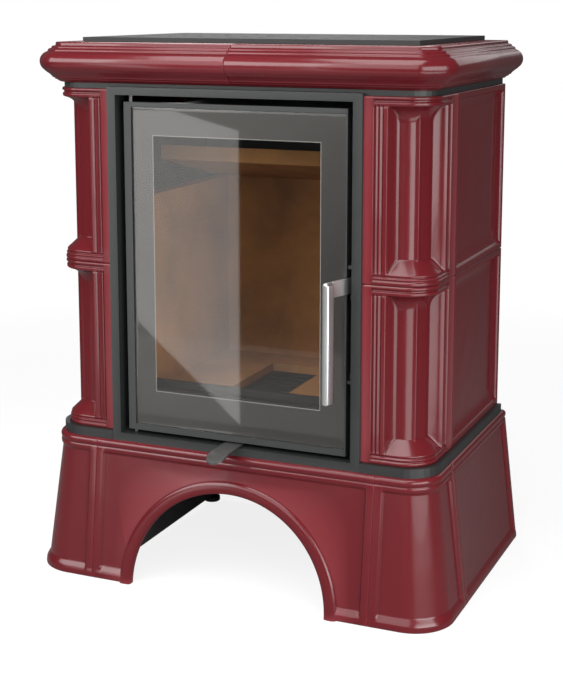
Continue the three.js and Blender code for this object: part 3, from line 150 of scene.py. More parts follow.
def soften(points, radius, steps=3, closed=False, keep=None):
    """The same run of points with every corner rounded, in any number of dimensions.

    radius is how far along each side the rounding starts. keep is how many of the leading
    numbers measure length.
    """
    result = []
    keep = keep or len(points[0])

    def toward(a, b):
        length = math.sqrt(sum((b[k] - a[k]) ** 2 for k in range(keep)))
        share = min(LONGEST_ROUNDING, radius / length) if length else LONGEST_ROUNDING
        return [a[k] + share * (b[k] - a[k]) for k in range(len(a))]

    for i, point in enumerate(points):
        if not closed and i in (0, len(points) - 1):
            result.append(list(point))
            continue
        start = toward(point, points[i - 1])
        end = toward(point, points[(i + 1) % len(points)])
        result += [bend_point(start, point, end, step / steps) for step in range(steps + 1)]
    return result


def rounded_rectangle(low, high, inset, radius, steps):
    """Points round a rectangle between two corners, inset all round and with rounded corners."""
    points = []
    left, bottom = (v + inset + radius for v in low)
    right, top = (v - inset - radius for v in high)
    for quarter, (u, v) in enumerate([(right, top), (left, top), (left, bottom), (right, bottom)]):
        for i in range(steps + 1):
            angle = (quarter + i / steps) * math.pi / 2
            points.append((u + radius * math.cos(angle), v + radius * math.sin(angle)))
    return points


def mirrored(loops):
    """The same loops on the other side of the stove."""
    return [[(-x, y, z) for x, y, z in loop] for loop in loops]


def cut_with(piece, cutter, sharp_degrees=40.0):
    """Takes the cutter's space out of the piece, and deletes the cutter."""
    knife = piece.modifiers.new("cut", "BOOLEAN")
    knife.operation = "DIFFERENCE"
    knife.solver = "EXACT"
    knife.object = cutter
    bpy.context.view_layer.update()
    depsgraph = bpy.context.evaluated_depsgraph_get()
    result = bpy.data.meshes.new_from_object(piece.evaluated_get(depsgraph))
    piece.modifiers.clear()
    piece.data = result
    shade(result, sharp_degrees)
    bpy.data.objects.remove(cutter)
    return piece


def dress(piece, material):
    """Gives a piece one material, in place of any it has."""
    piece.data.materials.clear()
    piece.data.materials.append(material)


def dress_nodes(maker, bevel_width, nodes, segments=3):
    """Gives carried CAD nodes a finish in their material slots, and rounds their edges.

    The rounding is a modifier, so that the node's own mesh stays as it is.
    """
    for node in nodes:
        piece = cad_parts[node]
        for slot in piece.material_slots:
            slot.material = finish(maker)
        if not piece.material_slots:
            piece.data.materials.append(finish(maker))
        bevel = piece.modifiers.new("rounded_edges", "BEVEL")
        bevel.width = bevel_width * MM
        bevel.segments = segments
        bevel.limit_method = "ANGLE"
        bevel.angle_limit = math.radians(BEVELLED_ANGLE)
        bevel.harden_normals = True


def stand_in(piece, node, body, maker):
    """Puts a detailed piece in the place of a CAD node."""
    dress(piece, finish(maker))
    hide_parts(node)
    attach(piece, body)


def glazed_pairs(*shapes):
    """Puts glazed pieces at the right and their mirror images at the left.

    Each shape is the name of its piece and of its node, both without the side, and loops.
    """
    for side in ("right", "left"):
        for name, node, loops in shapes:
            loops = loops if side == "right" else mirrored(loops)
            piece = loft(f"{name}_{side}", loops, sharp_degrees=50)
            stand_in(piece, f"{node}_{side}", "root", burgundy_glaze)


# ---- material helpers
def paint(name):
    """A colour of StoveColours, by its name."""
    return tuple(getattr(bpy.context.scene.stove_colours, name))


class Nodes:
    """The node tree of a material or the world, with short calls for the nodes it needs.

    An input takes a socket, a number, a colour or the name of a colour in StoveColours.
    """

    def __init__(self, owner, output="OutputMaterial"):
        self.owner = owner
        owner.use_nodes = True
        self.tree = owner.node_tree
        self.tree.nodes.clear()
        self.output = self.tree.nodes.new(f"ShaderNode{output}")

    def feed(self, socket, value):
        """Links or sets one input."""
        if isinstance(value, bpy.types.NodeSocket):
            self.tree.links.new(value, socket)
            return
        value = paint(value) if isinstance(value, str) else value
        socket.default_value = (*value, 1) if socket.type == "RGBA" else value

    def add(self, kind, inputs, output=0, **settings):
        """One output of a new node; inputs and output go by name or number."""
        node = self.tree.nodes.new(f"ShaderNode{kind}")
        for name, value in settings.items():
            setattr(node, name, value)
        for key, value in inputs.items():
            self.feed(node.inputs[key], value)
        return node.outputs[output]

    def place(self, stretch=None):
        """The place on the object in metres; stretch squeezes it along the axes."""
        place = self.add("TexCoord", {}, "Object")
        return self.add("Mapping", {"Vector": place, "Scale": stretch}) if stretch else place

    def noise(self, scale, detail=3, roughness=0.5, stretch=None):
        """Soft noise from 0 to 1."""
        return self.add("TexNoise", {
            "Vector": self.place(stretch), "Scale": scale, "Detail": detail, "Roughness": roughness,
        }, "Fac")

    def cells(self, scale):
        """Distance from the middle of the nearest of many scattered cells."""
        return self.add("TexVoronoi", {"Vector": self.place(), "Scale": scale}, "Distance")

    def waves(self, scale, axis, distortion):
        """Bands across an axis."""
        return self.add("TexWave", {
            "Vector": self.place(), "Scale": scale, "Distortion": distortion,
        }, "Fac", bands_direction=axis)

    def ramp(self, value, *stops):
        """A grey that value picks between two stops, each a place and a grey."""
        node = self.tree.nodes.new("ShaderNodeValToRGB")
        for element, (place, grey) in zip(node.color_ramp.elements, stops):
            element.position = place
            element.color = (grey, grey, grey, 1)
        self.feed(node.inputs["Fac"], value)
        return node.outputs["Color"]

    def fit(self, value, low, high, start=0.0, end=1.0):
        """Low where value is at start, high where it is at end, and held beyond them."""
        return self.add("MapRange", {
            "Value": value, "From Min": start, "From Max": end, "To Min": low, "To Max": high})

    def maths(self, first, second, operation="ADD"):
        """A sum, or what the operation makes of two numbers."""
        return self.add("Math", {0: first, 1: second}, operation=operation)

    def blend(self, share, first, second, mode="MIX"):
        """Colour first at share 0 and second at share 1."""
        # a Mix node's colours are its inputs 6 and 7 and its output 2
        return self.add("Mix", {0: share, 6: first, 7: second}, 2, data_type="RGBA", blend_type=mode)

    def times(self, colour, share):
        """A colour made darker or paler by a share of it."""
        return self.blend(1.0, colour, share, "MULTIPLY")

    def raised(self):
        """Above 0.5 on edges that stand out, 0.5 on flat faces and less in grooves."""
        return self.add("NewGeometry", {}, "Pointiness")

    def bump(self, height, distance, before=None):
        """A bump of that distance in metres, on top of the bump before it."""
        inputs = {"Height": height, "Distance": distance}
        if before is not None:
            inputs["Normal"] = before
        return self.add("Bump", inputs)

    def glossy_paint(self, colour, roughness, normal=None, **settings):
        """The Principled shader."""
        inputs = {"Base Color": colour, "Roughness": roughness}
        inputs.update((name.replace("_", " "), value) for name, value in settings.items())
        if normal is not None:
            inputs["Normal"] = normal
        return self.add("BsdfPrincipled", inputs)

    def end(self, shader):
        """Ends the tree in a shader."""
        self.feed(self.output.inputs["Surface"], shader)
        return self.owner

    def surface(self, *values, **settings):
        """Ends the tree in the Principled shader."""
        return self.end(self.glossy_paint(*values, **settings))


FINISHES = {}


def finish(maker):
    """The material of a finish, made on its first use."""
    name = maker.__name__
    if name not in FINISHES:
        FINISHES[name] = maker(Nodes(bpy.data.materials.new(name)))
    return FINISHES[name]


# ---- finishes
def burgundy_glaze(n):
    """Thick transparent glaze over clay: darker where it pools, and paler on raised edges, partly for the
    thin glaze there and partly as a painted highlight.
    """
    tone = n.blend(n.noise(9, 3, 0.55), "glaze_deep", "glaze")
    tone = n.times(tone, n.fit(n.noise(900, 2, 0.6), 0.93, 1.06))
    groove = n.ramp(n.raised(), (0.40, 1.0), (0.49, 0.0))
    tone = n.blend(groove, tone, "glaze_pooled")
    # painted highlight: raised edges turn paler, partly for the thin glaze and partly to stand in for light
    # catching them
    edge = n.ramp(n.raised(), (0.515, 0.0), (0.62, 0.75))
    tone = n.blend(edge, tone, "glaze_edge")
    speck = n.ramp(n.cells(240), (0.035, 0.5), (0.06, 0.0))
    tone = n.blend(speck, tone, "glaze_pooled")
    swell = n.bump(n.noise(16, 1, 0.4), 0.0009)
    orange_peel = n.bump(n.noise(210, 2), 0.00006, swell)
    return n.surface(tone, n.fit(n.noise(60), 0.19, 0.25), orange_peel, IOR=1.42,
                     Specular_IOR_Level=0.5, Coat_Weight=0.2, Coat_Roughness=0.05)


def enamel(n, tone, grain, rough_low, rough_high):
    """Baked paint on steel: fine grain, faint cloudiness and rubbed edges."""
    colour = n.times(tone, n.fit(n.noise(14, 4), 0.88, 1.12))
    rubbed = n.ramp(n.raised(), (0.53, 0.0), (0.64, 0.5))
    colour = n.blend(rubbed, colour, tuple(min(1.0, 1.8 * v + 0.02) for v in paint(tone)))
    rough = n.fit(n.noise(45, 4), rough_low, rough_high)
    return n.surface(colour, rough, n.bump(n.noise(grain, 3, 0.6), 0.00005), Specular_IOR_Level=0.5)


def frame_enamel(n):
    """Dark grey paint of the surround and the door."""
    return enamel(n, "frame_paint", 1300, 0.32, 0.46)


def band_enamel(n):
    """Nearly black paint of the band and the carrier."""
    return enamel(n, "band_paint", 900, 0.4, 0.55)


def black_sheet(n):
    """Heat-proof paint on sheet steel, with soot and streaks along it."""
    streaks = n.fit(n.noise(30, 4, 0.6, (1, 1, 0.15)), 0.75, 1.25)
    soot = n.ramp(n.noise(11, 5, 0.65), (0.5, 0.0), (0.72, 0.6))
    colour = n.blend(soot, n.times("sheet_paint", streaks), (0.012, 0.012, 0.012))
    rough = n.fit(n.noise(80), 0.5, 0.72)
    return n.surface(colour, rough, n.bump(n.noise(700, 4, 0.6), 0.00008))


def cast_iron(n):
    """Painted cast iron with the skin that the mould's sand leaves."""
    colour = n.times("iron", n.fit(n.noise(25, 5, 0.6), 0.8, 1.2))
    rough = n.fit(n.noise(160, 4), 0.55, 0.72)
    sand = n.bump(n.noise(480, 5, 0.65), 0.00018)
    return n.surface(colour, rough, n.bump(n.cells(330), 0.00008, sand), Specular_IOR_Level=0.3)


def satin_steel(n):
    """Ground and lacquered steel of the handle, with fine lines along it."""
    lines = n.noise(420, 3, 0.6, (1, 1, 0.02))
    colour = n.blend(n.fit(lines, 0.0, 0.35), "handle_steel", (0.58, 0.58, 0.59))
    return n.surface(colour, n.fit(lines, 0.24, 0.38), n.bump(lines, 0.00003), Metallic=1.0)


def bare_steel(n):
    """Rolled steel of pins, latch and air lever, with a faint brown cast."""
    patch = n.noise(55, 4, 0.6)
    colour = n.blend(n.fit(patch, 0.0, 0.5), (0.14, 0.14, 0.14), (0.08, 0.077, 0.074))
    rough = n.fit(n.noise(150, 4, 0.6, (1, 0.1, 1)), 0.3, 0.5)
    return n.surface(colour, rough, n.bump(n.noise(520), 0.00004), Metallic=0.85)


def vermiculite(n):
    """Pressed vermiculite: tan board with flakes, pits and a little smoke on it."""
    base = n.blend(n.noise(35, 5, 0.65), "lining", "lining_pale")
    flakes = n.cells(520)
    base = n.blend(n.ramp(flakes, (0.12, 0.7), (0.3, 0.0)), base, "lining_flake")
    smoke = n.ramp(n.noise(5, 4, 0.6), (0.42, 0.0), (0.8, 0.55))
    base = n.blend(smoke, base, (0.05, 0.04, 0.035))
    pits = n.bump(n.fit(flakes, 0.0, 1.0, 0.0, 0.5), 0.0005)
    return n.surface(base, 0.92, n.bump(n.noise(260, 4, 0.7), 0.0004, pits), Specular_IOR_Level=0.15)


def rope(n):
    """Knitted glass-fibre rope, grey, with painted shade in the gaps between its stitches."""
    stitches = n.maths(n.waves(150, "DIAGONAL", 1.5), n.waves(190, "X", 2.0), "MULTIPLY")
    # painted shade: the grey turns dark where the stitches dip
    colour = n.blend(n.fit(stitches, 0.0, 1.0, 0.0, 0.6), (0.035, 0.034, 0.033), (0.20, 0.195, 0.185))
    return n.surface(colour, 0.95, n.bump(stitches, 0.0006), Specular_IOR_Level=0.2)


def printed_border(n):
    """Dark ceramic print fired on the back of the door glass."""
    colour = n.times("glass_print", n.fit(n.noise(1500, 2, 0.6), 0.85, 1.15))
    return n.surface(colour, n.fit(n.noise(90), 0.34, 0.46), Metallic=1.0)


def printed_line(n):
    """Pale hairline that edges the dark print."""
    return n.surface(n.fit(n.noise(700, 2), 0.42, 0.50), 0.4, Specular_IOR_Level=0.3)


def door_glass(n):
    """Clear glass-ceramic that mirrors more at a shallow angle and tints what is behind."""
    steep = n.maths(n.add("LayerWeight", {"Blend": 0.5}, "Facing"), 3.5, "POWER")
    film = n.fit(n.noise(7), 0.0, 0.012)
    clear = n.add("BsdfTransparent", {"Color": "glass_tint"})
    shine = n.add("BsdfGlossy", {"Color": WHITE, "Roughness": 0.03})
    share = n.maths(n.fit(steep, 0.026, 0.85), film)
    return n.end(n.add("MixShader", {0: share, 1: clear, 2: shine}))


# ---- corner tiles
FLANGE_WIDTH = 17.3
RIB_ZONE = 27.5
ARRIS_INSET = 36.0
CORNER_RADIUS = 60.0
FLUTE_DEPTH = 12.0
GROOVE_DEPTH = 4.0
ARRIS_ROUND = 2.6
EDGE_ROUND = 2.1
RIB_MARGIN = 0.2
RIB_SINK = 0.8
BEAD_ZONE_FOOT = 17.0
BEAD_ZONE_TOP = 17.5
FOOT_APRON = 26.0
CAPITAL_COVE = 30.0
DEEPEST_CUT = 30.0
FILLET = 1.6
CORNER_TILE_BACK = 24.0
BACK_BEHIND_ARRIS = 20.0
BACK_BESIDE_FLUTE = 8.0
# beads of the foot and the head, as distance from the tile's end and sink
FOOT_BEADS = ((0, 1.5), (2, 0), (6, 0), (8, 2.5), (12, 0.5), (14.5, 4))
HEAD_BEADS = ((15, 0.8), (11, 0.8), (9.5, 3.5), (6.5, 3.5), (5, 0), (2, 0), (0, 1.5))
FLANGE_EDGE = FRONT_RUN - FLANGE_WIDTH
FLUTE_EDGE = FLANGE_EDGE - RIB_ZONE
# each rib point is its distance from the flange's edge, and its depth on the shaft
RIBS = [
    (0, 0), (2.5, GROOVE_DEPTH), (5, RIB_SINK), (8, GROOVE_DEPTH), (12, RIB_SINK),
    (16, GROOVE_DEPTH), (19, RIB_SINK / 2), (25, RIB_SINK / 2), (RIB_ZONE, GROOVE_DEPTH),
]


def lip_point(along):
    """A point of a corner tile's rounded lip, at a distance along it from the flute."""
    straight = FLUTE_EDGE - CORNER_RADIUS
    if along <= straight:
        return [FLUTE_EDGE - along, 0, 0, -1]
    turn = (along - straight) / CORNER_RADIUS
    out = (-math.sin(turn), -math.cos(turn))
    return [CORNER_RADIUS * (1 + out[0]), CORNER_RADIUS * (1 + out[1]), *out]


def tile_stations(steps):
    """Half the plan of a corner tile, each as lip p, lip q, shaft p, shaft q, out p, out q."""
    half = [[FRONT_RUN, 0, FRONT_RUN, 0, 0, -1]]
    for back, depth in RIBS:
        p = FLANGE_EDGE - back
        half.append([p, 0, p, depth, 0, -1])
    half = soften(half, 0.9, keep=4)
    half_run = FLUTE_EDGE - CORNER_RADIUS + CORNER_RADIUS * math.pi / 4
    chord = (ARRIS_INSET - FLUTE_EDGE, ARRIS_INSET - GROOVE_DEPTH)
    length = math.hypot(*chord)
    inward = (chord[1] / length * FLUTE_DEPTH, -chord[0] / length * FLUTE_DEPTH)
    for i in range(1, steps + 1):
        share = i / steps
        lip = lip_point(share * half_run)
        belly = 4 * share * (1 - share)
        p = FLUTE_EDGE + share * chord[0] + belly * inward[0]
        q = GROOVE_DEPTH + share * chord[1] + belly * inward[1]
        half.append([lip[0], lip[1], p, q, lip[2], lip[3]])
    return half


def tile_courses(height, sizes):
    """Courses from foot to head: rise, sink, and how far the shaft may lie below the lip."""
    faint = 0.5
    courses = [[rise, sink, faint] for rise, sink in FOOT_BEADS] + [[BEAD_ZONE_FOOT, 2, 1]]
    for i in range(1, sizes.cove_steps + 1):
        share = i / sizes.cove_steps
        courses.append([BEAD_ZONE_FOOT + share * FOOT_APRON, 0, 1 + share * (DEEPEST_CUT - 1)])
    for i in range(sizes.cove_steps, 0, -1):
        share = i / sizes.cove_steps
        depth = DEEPEST_CUT * math.sqrt(1 - (1 - share) ** 2)
        courses.append([height - BEAD_ZONE_TOP - share * CAPITAL_COVE, 0, depth])
    courses.append([height - BEAD_ZONE_TOP + 0.2, 1, 2])
    courses += [[height - down, sink, faint] for down, sink in HEAD_BEADS]
    return soften(courses, 1.1, keep=2)


def cut_share(limit, depth):
    """How much of a cut's depth is reached under a limit, with a small fillet where they meet."""
    if depth < 0.01:
        return 0
    reached = (limit + depth - math.hypot(limit - depth, FILLET)) / 2
    return max(reached, 0) / depth


def corner_tile_loops(node, sizes):
    """Loops from foot to head: lips at foot and head, and the fluted shaft between them."""
    bottom, top = (corner[2] for corner in span(node))
    height = top - bottom
    half = tile_stations(sizes.flute_steps)
    other = [[s[1], s[0], s[3], s[2], s[5], s[4]] for s in reversed(half[:-1])]
    other[-1][1] = other[-1][3] = SIDE_RUN
    ridge = soften([half[-3], half[-1], other[1]], ARRIS_ROUND, 5, keep=4)
    stations = half[:-2] + ridge[1:-1] + other[1:]
    deep = ARRIS_INSET + BACK_BEHIND_ARRIS
    wide = FLUTE_EDGE + BACK_BESIDE_FLUTE
    back = [(CORNER_TILE_BACK, SIDE_RUN), (CORNER_TILE_BACK, wide), (deep, deep),
            (wide, CORNER_TILE_BACK), (FRONT_RUN, CORNER_TILE_BACK)]
    loops = []
    for rise, sink, limit in tile_courses(height, sizes):
        plan = []
        for lip_p, lip_q, shaft_p, shaft_q, out_p, out_q in stations:
            share = cut_share(limit, math.hypot(shaft_p - lip_p, shaft_q - lip_q))
            on_flange = max(lip_p, lip_q) > FLANGE_EDGE - RIB_MARGIN
            inward = 0 if on_flange and EDGE_ROUND < rise < height - EDGE_ROUND else sink
            plan.append((lip_p + share * (shaft_p - lip_p) - inward * out_p,
                         lip_q + share * (shaft_q - lip_q) - inward * out_q))
        loops.append([(CASING_HALF_WIDTH - p, CASING_FRONT + q, bottom + rise) for p, q in plan + back])
    return loops


# ---- side tiles
SIDE_TILE_RIM = 11.0
SIDE_TILE_COVE = 24.0
SIDE_TILE_COVE_FOOT = 4.0
SIDE_TILE_SWELL_RUN = 94.0
SIDE_TILE_WALL = 12.0
SIDE_TILE_BACK_RADIUS = 4.0
RIM_DROP = 0.8
COVE_RADIUS = 5.0
FIELD_RADIUS = 16.0
MIDDLE_RADIUS = 28.0
COVE_ROWS = 9
SWELL_ROWS = 8


def side_tile_loops(node, sizes):
    """A rounded rim, a cove down to a field that swells a little, and a hollow back."""
    low, high = span(node)
    outer = high[0]
    sink = sizes.field_sink
    rim = SIDE_TILE_RIM
    wall = SIDE_TILE_WALL
    field = rim + SIDE_TILE_COVE + SIDE_TILE_COVE_FOOT
    # each row is height from the rim's face, corner radius and inset from the edge
    rows = [[-2.0, 1.5, 0], [-0.35, 1.7, 0.35], [0, 2, 2], [0, 4, rim - 2], [-RIM_DROP, COVE_RADIUS, rim]]
    for i in range(1, COVE_ROWS + 1):
        turn = i / COVE_ROWS * math.pi / 2
        drop = RIM_DROP + (sink - RIM_DROP) * math.sin(turn)
        rows.append([-drop, COVE_RADIUS + i, rim + SIDE_TILE_COVE * (1 - math.cos(turn))])
    rows = [[low[0] - outer, 1.5, 0]] + soften(rows + [[-sink, FIELD_RADIUS, field]], 1.2)
    for i in range(1, SWELL_ROWS + 1):
        share = i / SWELL_ROWS
        rise = sizes.field_swell * (1 - (1 - share) ** 2)
        radius = FIELD_RADIUS + (MIDDLE_RADIUS - FIELD_RADIUS) * share
        rows.append([rise - sink, radius, field + SIDE_TILE_SWELL_RUN * share])
    rows.reverse()
    rows += [[depth, SIDE_TILE_BACK_RADIUS, wall] for depth in (low[0] - outer, -sink - wall)]
    return [[(outer + depth, y, z) for y, z in rounded_rectangle(low[1:], high[1:], inset, radius, 8)]
            for depth, radius, inset in rows]


# ---- cornice
CORNICE_DEPTH = 60.0
CORNICE_WALL = 11.0
CORNICE_CLIP = 26.0
CORNICE_INNER_ROUND = 5.0
TORUS_RADIUS = 19.0
TORUS_OUT = 14.0
TORUS_DROP = 36.5
TORUS_START = 70
TORUS_SWEEP = 122
TORUS_STEPS = 30
CLIP_STEPS = 6
CLIP_LEAN = 1.5
# reach from the casing's face, and distance under the top or above the bottom
CORNICE_FRONT = (
    (-CORNICE_DEPTH, 0), (0.5, 0), (2, 1.5), (2.5, 6.5), (6, 7), (9.5, 8), (10.5, 11.5),
    (13.5, 12), (16.5, 13.5), (17.5, 17))
CORNICE_COVE = (
    (22, 19.5), (17, 16), (11.5, 11.5), (9, 8), (6, 7.5), (4, 4.5), (1, 4), (-4, 0),
    (-4 - CORNICE_WALL, 0))
# distance from a half's end, and how far its edge is rounded back there
CORNICE_END = ((0, 1.3), (0.4, 0.5), (1.4, 0))


def cornice_section(top, bottom):
    """The cornice's section: reach from the casing face, and height."""
    front = [[reach, top - down] for reach, down in CORNICE_FRONT]
    cove = [[reach, bottom + up] for reach, up in CORNICE_COVE]
    torus = []
    for i in range(TORUS_STEPS + 1):
        angle = math.radians(TORUS_START - i * (TORUS_SWEEP / TORUS_STEPS))
        torus.append([TORUS_OUT + TORUS_RADIUS * math.cos(angle),
                      top - TORUS_DROP + TORUS_RADIUS * math.sin(angle)])
    back = [
        [-2, bottom + 16], [8, bottom + 30], [8, bottom + 46], [-8, top - CORNICE_WALL],
        [-CORNICE_DEPTH, top - CORNICE_WALL],
    ]
    outer = soften(front + torus[:1], 0.9)[:-1] + torus + soften(torus[-1:] + cove, 1.2)[1:]
    return outer + back


def cornice_loops(sizes):
    """Sections from the seam at the front's middle, round the clipped corner, to the side's end."""
    low, high = span("cornice_right")
    x, y = CASING_HALF_WIDTH, CASING_FRONT
    seam, bottom = low[0], low[2]
    end, top = high[1], high[2]
    soft = sizes.clip_softening
    inner_x = x - CORNICE_DEPTH - CORNICE_INNER_ROUND
    inner_y = y + CORNICE_DEPTH + CORNICE_INNER_ROUND
    # each stop is a place, a turn in degrees, the inner place and how far the edge is rounded
    route = [((seam + away, y), 0, (seam + away, y + CORNICE_DEPTH), back) for away, back in CORNICE_END]
    for corner, start in (((x - CORNICE_CLIP, y), 0), ((x, y + CORNICE_CLIP), 45)):
        before = math.radians(start)
        after = math.radians(start + 45)
        first = (corner[0] - soft * math.cos(before), corner[1] - soft * math.sin(before))
        last = (corner[0] + soft * math.cos(after), corner[1] + soft * math.sin(after))
        for i in range(CLIP_STEPS + 1):
            turn = start + 45 * i / CLIP_STEPS
            # the lean keeps the inner places of the two corners apart
            lean = 0 if turn in (0, 90) else math.copysign(CLIP_LEAN, start - 1)
            inner = math.radians(turn + lean)
            inner_place = (inner_x + CORNICE_INNER_ROUND * math.sin(inner),
                           inner_y - CORNICE_INNER_ROUND * math.cos(inner))
            route.append((bend_point(first, corner, last, i / CLIP_STEPS), turn, inner_place, 0))
    route += [((x, end - away), 90, (x - CORNICE_DEPTH, end - away), back)
              for away, back in reversed(CORNICE_END)]
    loops = []
    for place, turn, inner, rounding in route:
        angle = math.radians(turn)
        loop = []
        for reach, z in cornice_section(top, bottom):
            share = max(0.0, -reach) / CORNICE_DEPTH
            proud = max(0.0, reach - rounding)
            loop.append((
                place[0] + share * (inner[0] - place[0]) + proud * math.sin(angle),
                place[1] + share * (inner[1] - place[1]) - proud * math.cos(angle),
                min(max(z, bottom + rounding), top - rounding),
            ))
        loops.append(loop)
    return loops


# ---- plinth
PLINTH_TOP_HALF_WIDTH = CASING_HALF_WIDTH + 12.5
PLINTH_TOP_FRONT = CASING_FRONT - 14.4
PLINTH_SPLAY = 32.0
PLINTH_FLOOR_RADIUS = 80.0
PLINTH_TOP_RADIUS = 64.0
PLINTH_RIM = 14.0
PLINTH_WALL = 22.0
PLINTH_PANEL_SINK = 5.0
PLINTH_NOSING = 24.0
PLINTH_LIP = 20.0
PLINTH_SLOPE = 4.0
PLINTH_BEND_RADIUS_SHARE = 0.35
PLINTH_BEND_WALL_SHARE = 0.6
PLINTH_CORNER_PANEL = 12.0
PLINTH_FRONT_PANEL = 14.0
ARCH_RADIUS = 208.0
ARCH_BEAD = 16.0
ARCH_BEAD_PROUD = 2.5
# distance out from the arch's edge, and depth
ARCH_BEAD_SECTION = (
    (-8, 12), (-8, 0.4), (-4.5, -1.6), (2, -ARCH_BEAD_PROUD), (9, -ARCH_BEAD_PROUD),
    (13.5, -0.8), (ARCH_BEAD, 1.6), (ARCH_BEAD, 12))


def splay_at(z):
    """How far the plinth stands out at a height."""
    return PLINTH_SPLAY * (1 - z / PLINTH_HEIGHT)


def plinth_courses():
    """Courses from the floor up: height, half width, front, rim sink and panel sink."""
    top = PLINTH_HEIGHT
    rim = 1.0
    panel = rim + PLINTH_PANEL_SINK
    courses = [
        [0, 4, 4.2], [2, 0.5, 0.7], [PLINTH_LIP * 0.6, 0, 0.2], [PLINTH_LIP * 0.85, rim, 2],
        [PLINTH_LIP + 5, rim, panel], [top - PLINTH_NOSING - 4, rim, panel],
        [top - PLINTH_NOSING, rim, 2.5], [top - 17, rim, 1.2], [top - 14.5, 2.5, 2.7],
        [top - 12, 0.5, 0.7], [top - 6, -1, -0.8], [top - 2, 0.5, 0.7], [top, 4, 4.2],
    ]
    return [(z, PLINTH_TOP_HALF_WIDTH + splay_at(z), PLINTH_TOP_FRONT - splay_at(z), rim, panel)
            for z, rim, panel in soften(courses, 1.8)]


def plinth_corner_loops(sizes):
    """Loops up the corner piece, each with its rims, its panel round the corner and its back."""
    low, high = span("plinth_corner_right")
    start_x, end_y = low[0], high[1]
    rim_x, rim_y = start_x + PLINTH_RIM, end_y - PLINTH_RIM
    loops = []
    for z, width, front, rim, panel in plinth_courses():
        share = z / PLINTH_HEIGHT
        radius = PLINTH_FLOOR_RADIUS + share * (PLINTH_TOP_RADIUS - PLINTH_FLOOR_RADIUS)
        head = [[start_x, front + PLINTH_WALL], [start_x, front + rim], [rim_x, front + rim],
                [rim_x + PLINTH_SLOPE, front + panel], [rim_x + PLINTH_CORNER_PANEL, front + panel]]
        tail = [[width - panel, rim_y - PLINTH_CORNER_PANEL], [width - panel, rim_y - PLINTH_SLOPE],
                [width - rim, rim_y], [width - rim, end_y], [width - PLINTH_WALL, end_y]]
        arc = []
        for i in range(sizes.corner_steps + 1):
            angle = i / sizes.corner_steps * math.pi / 2
            reach = radius - panel
            arc.append([width - radius + reach * math.sin(angle), front + radius - reach * math.cos(angle)])
        bend = radius * PLINTH_BEND_RADIUS_SHARE + PLINTH_WALL * PLINTH_BEND_WALL_SHARE
        inner = [[width - PLINTH_WALL, front + PLINTH_WALL + bend],
                 [width - PLINTH_WALL - bend, front + PLINTH_WALL]]
        plan = soften(head, 1.3) + arc + soften(tail, 1.3) + inner
        loops.append([(x, y, z) for x, y in plan])
    return loops


def plinth_side_loops():
    """Loops up the side piece, each with its rims, its panel and its back."""
    start, end = (corner[1] for corner in span("plinth_side_right"))
    loops = []
    for z, width, _, rim, panel in plinth_courses():
        run = [(PLINTH_WALL, start), (rim, start), (rim, start + PLINTH_RIM),
               (panel, start + PLINTH_RIM + PLINTH_SLOPE), (panel, end - PLINTH_RIM - PLINTH_SLOPE),
               (rim, end - PLINTH_RIM), (rim, end), (PLINTH_WALL, end)]
        run = soften([(width - sink, y) for sink, y in run], 1.3)
        loops.append([(x, y, z) for x, y in run])
    return loops


def arch_bead_loops(sizes):
    """The raised bead round the arch: a rounded band that leans with the splayed front."""
    section = soften(ARCH_BEAD_SECTION, 2.4)
    loops = []
    for i in range(sizes.arch_steps + 1):
        angle = math.pi * i / sizes.arch_steps
        loop = []
        for out, depth in section:
            x = (ARCH_RADIUS + out) * math.cos(angle)
            z = max(0.0, (ARCH_RADIUS + out) * math.sin(angle))
            loop.append((x, PLINTH_TOP_FRONT + 1 + depth - splay_at(z), z))
        loops.append(loop)
    return loops


def plinth_front(sizes):
    """The front piece: a splayed slab cut by the arch."""
    edge = span("plinth_front_arch")[1][0]
    rim_x = edge - PLINTH_RIM
    loops = []
    for z, _, front, rim, panel in plinth_courses():
        half = [[edge, front + PLINTH_WALL], [edge, front + rim], [rim_x, front + rim],
                [rim_x - PLINTH_SLOPE, front + panel], [rim_x - PLINTH_FRONT_PANEL, front + panel]]
        half = soften(half, 1.3)
        loops.append([(x, y, z) for x, y in half + [[-x, y] for x, y in reversed(half)]])
    reach = PLINTH_SPLAY + PLINTH_WALL + ARCH_BEAD
    rings = [[(ARCH_RADIUS * math.cos(angle), y, ARCH_RADIUS * math.sin(angle))
              for angle in full_turn(sizes.arch_steps * 2)]
             for y in (PLINTH_TOP_FRONT - reach, PLINTH_TOP_FRONT + reach)]
    return cut_with(loft("plinth_front", loops), loft("arch_cutter", rings))


# ---- door, handle and fittings
ROPE_HALF_WIDTH = 4.5
ROPE_CORNER = 14.0
PANE_EDGE = 6.0
# where the print starts and ends behind the pane, and the hairline inside the print
PRINT_FRONT = 0.06
PRINT_BACK = 0.2
HAIRLINE_START = 0.05
HAIRLINE_END = 1.3
AXIS_RADIUS = 0.001
GRIP_REACH = 66.0
GRIP_HALF_WIDTH = 7.45
GRIP_HALF_DEPTH = 9.95
GRIP_TURN = math.radians(-20)
# the throat plate's distance before the baffle's rear, and its reach under and over the
# level of the baffle's top
THROAT_BEFORE_REAR = 64.0
THROAT_THICK = 3.0
THROAT_DOWN = 29.0
THROAT_UP = 43.0
SHELL_WALL = 5.0
FLUE_FLANGE = 16.0
FLUE_FLANGE_THICK = 4.0
FLUE_WALL = 3.0
FLUE_GROOVE = 1.2


def upright_loop(low, high, inset, radius, y, steps=4):
    """A rounded rectangle in the plane of the door, inset from two corners."""
    return [(x, y, z) for x, z in rounded_rectangle(low[::2], high[::2], inset, radius, steps)]


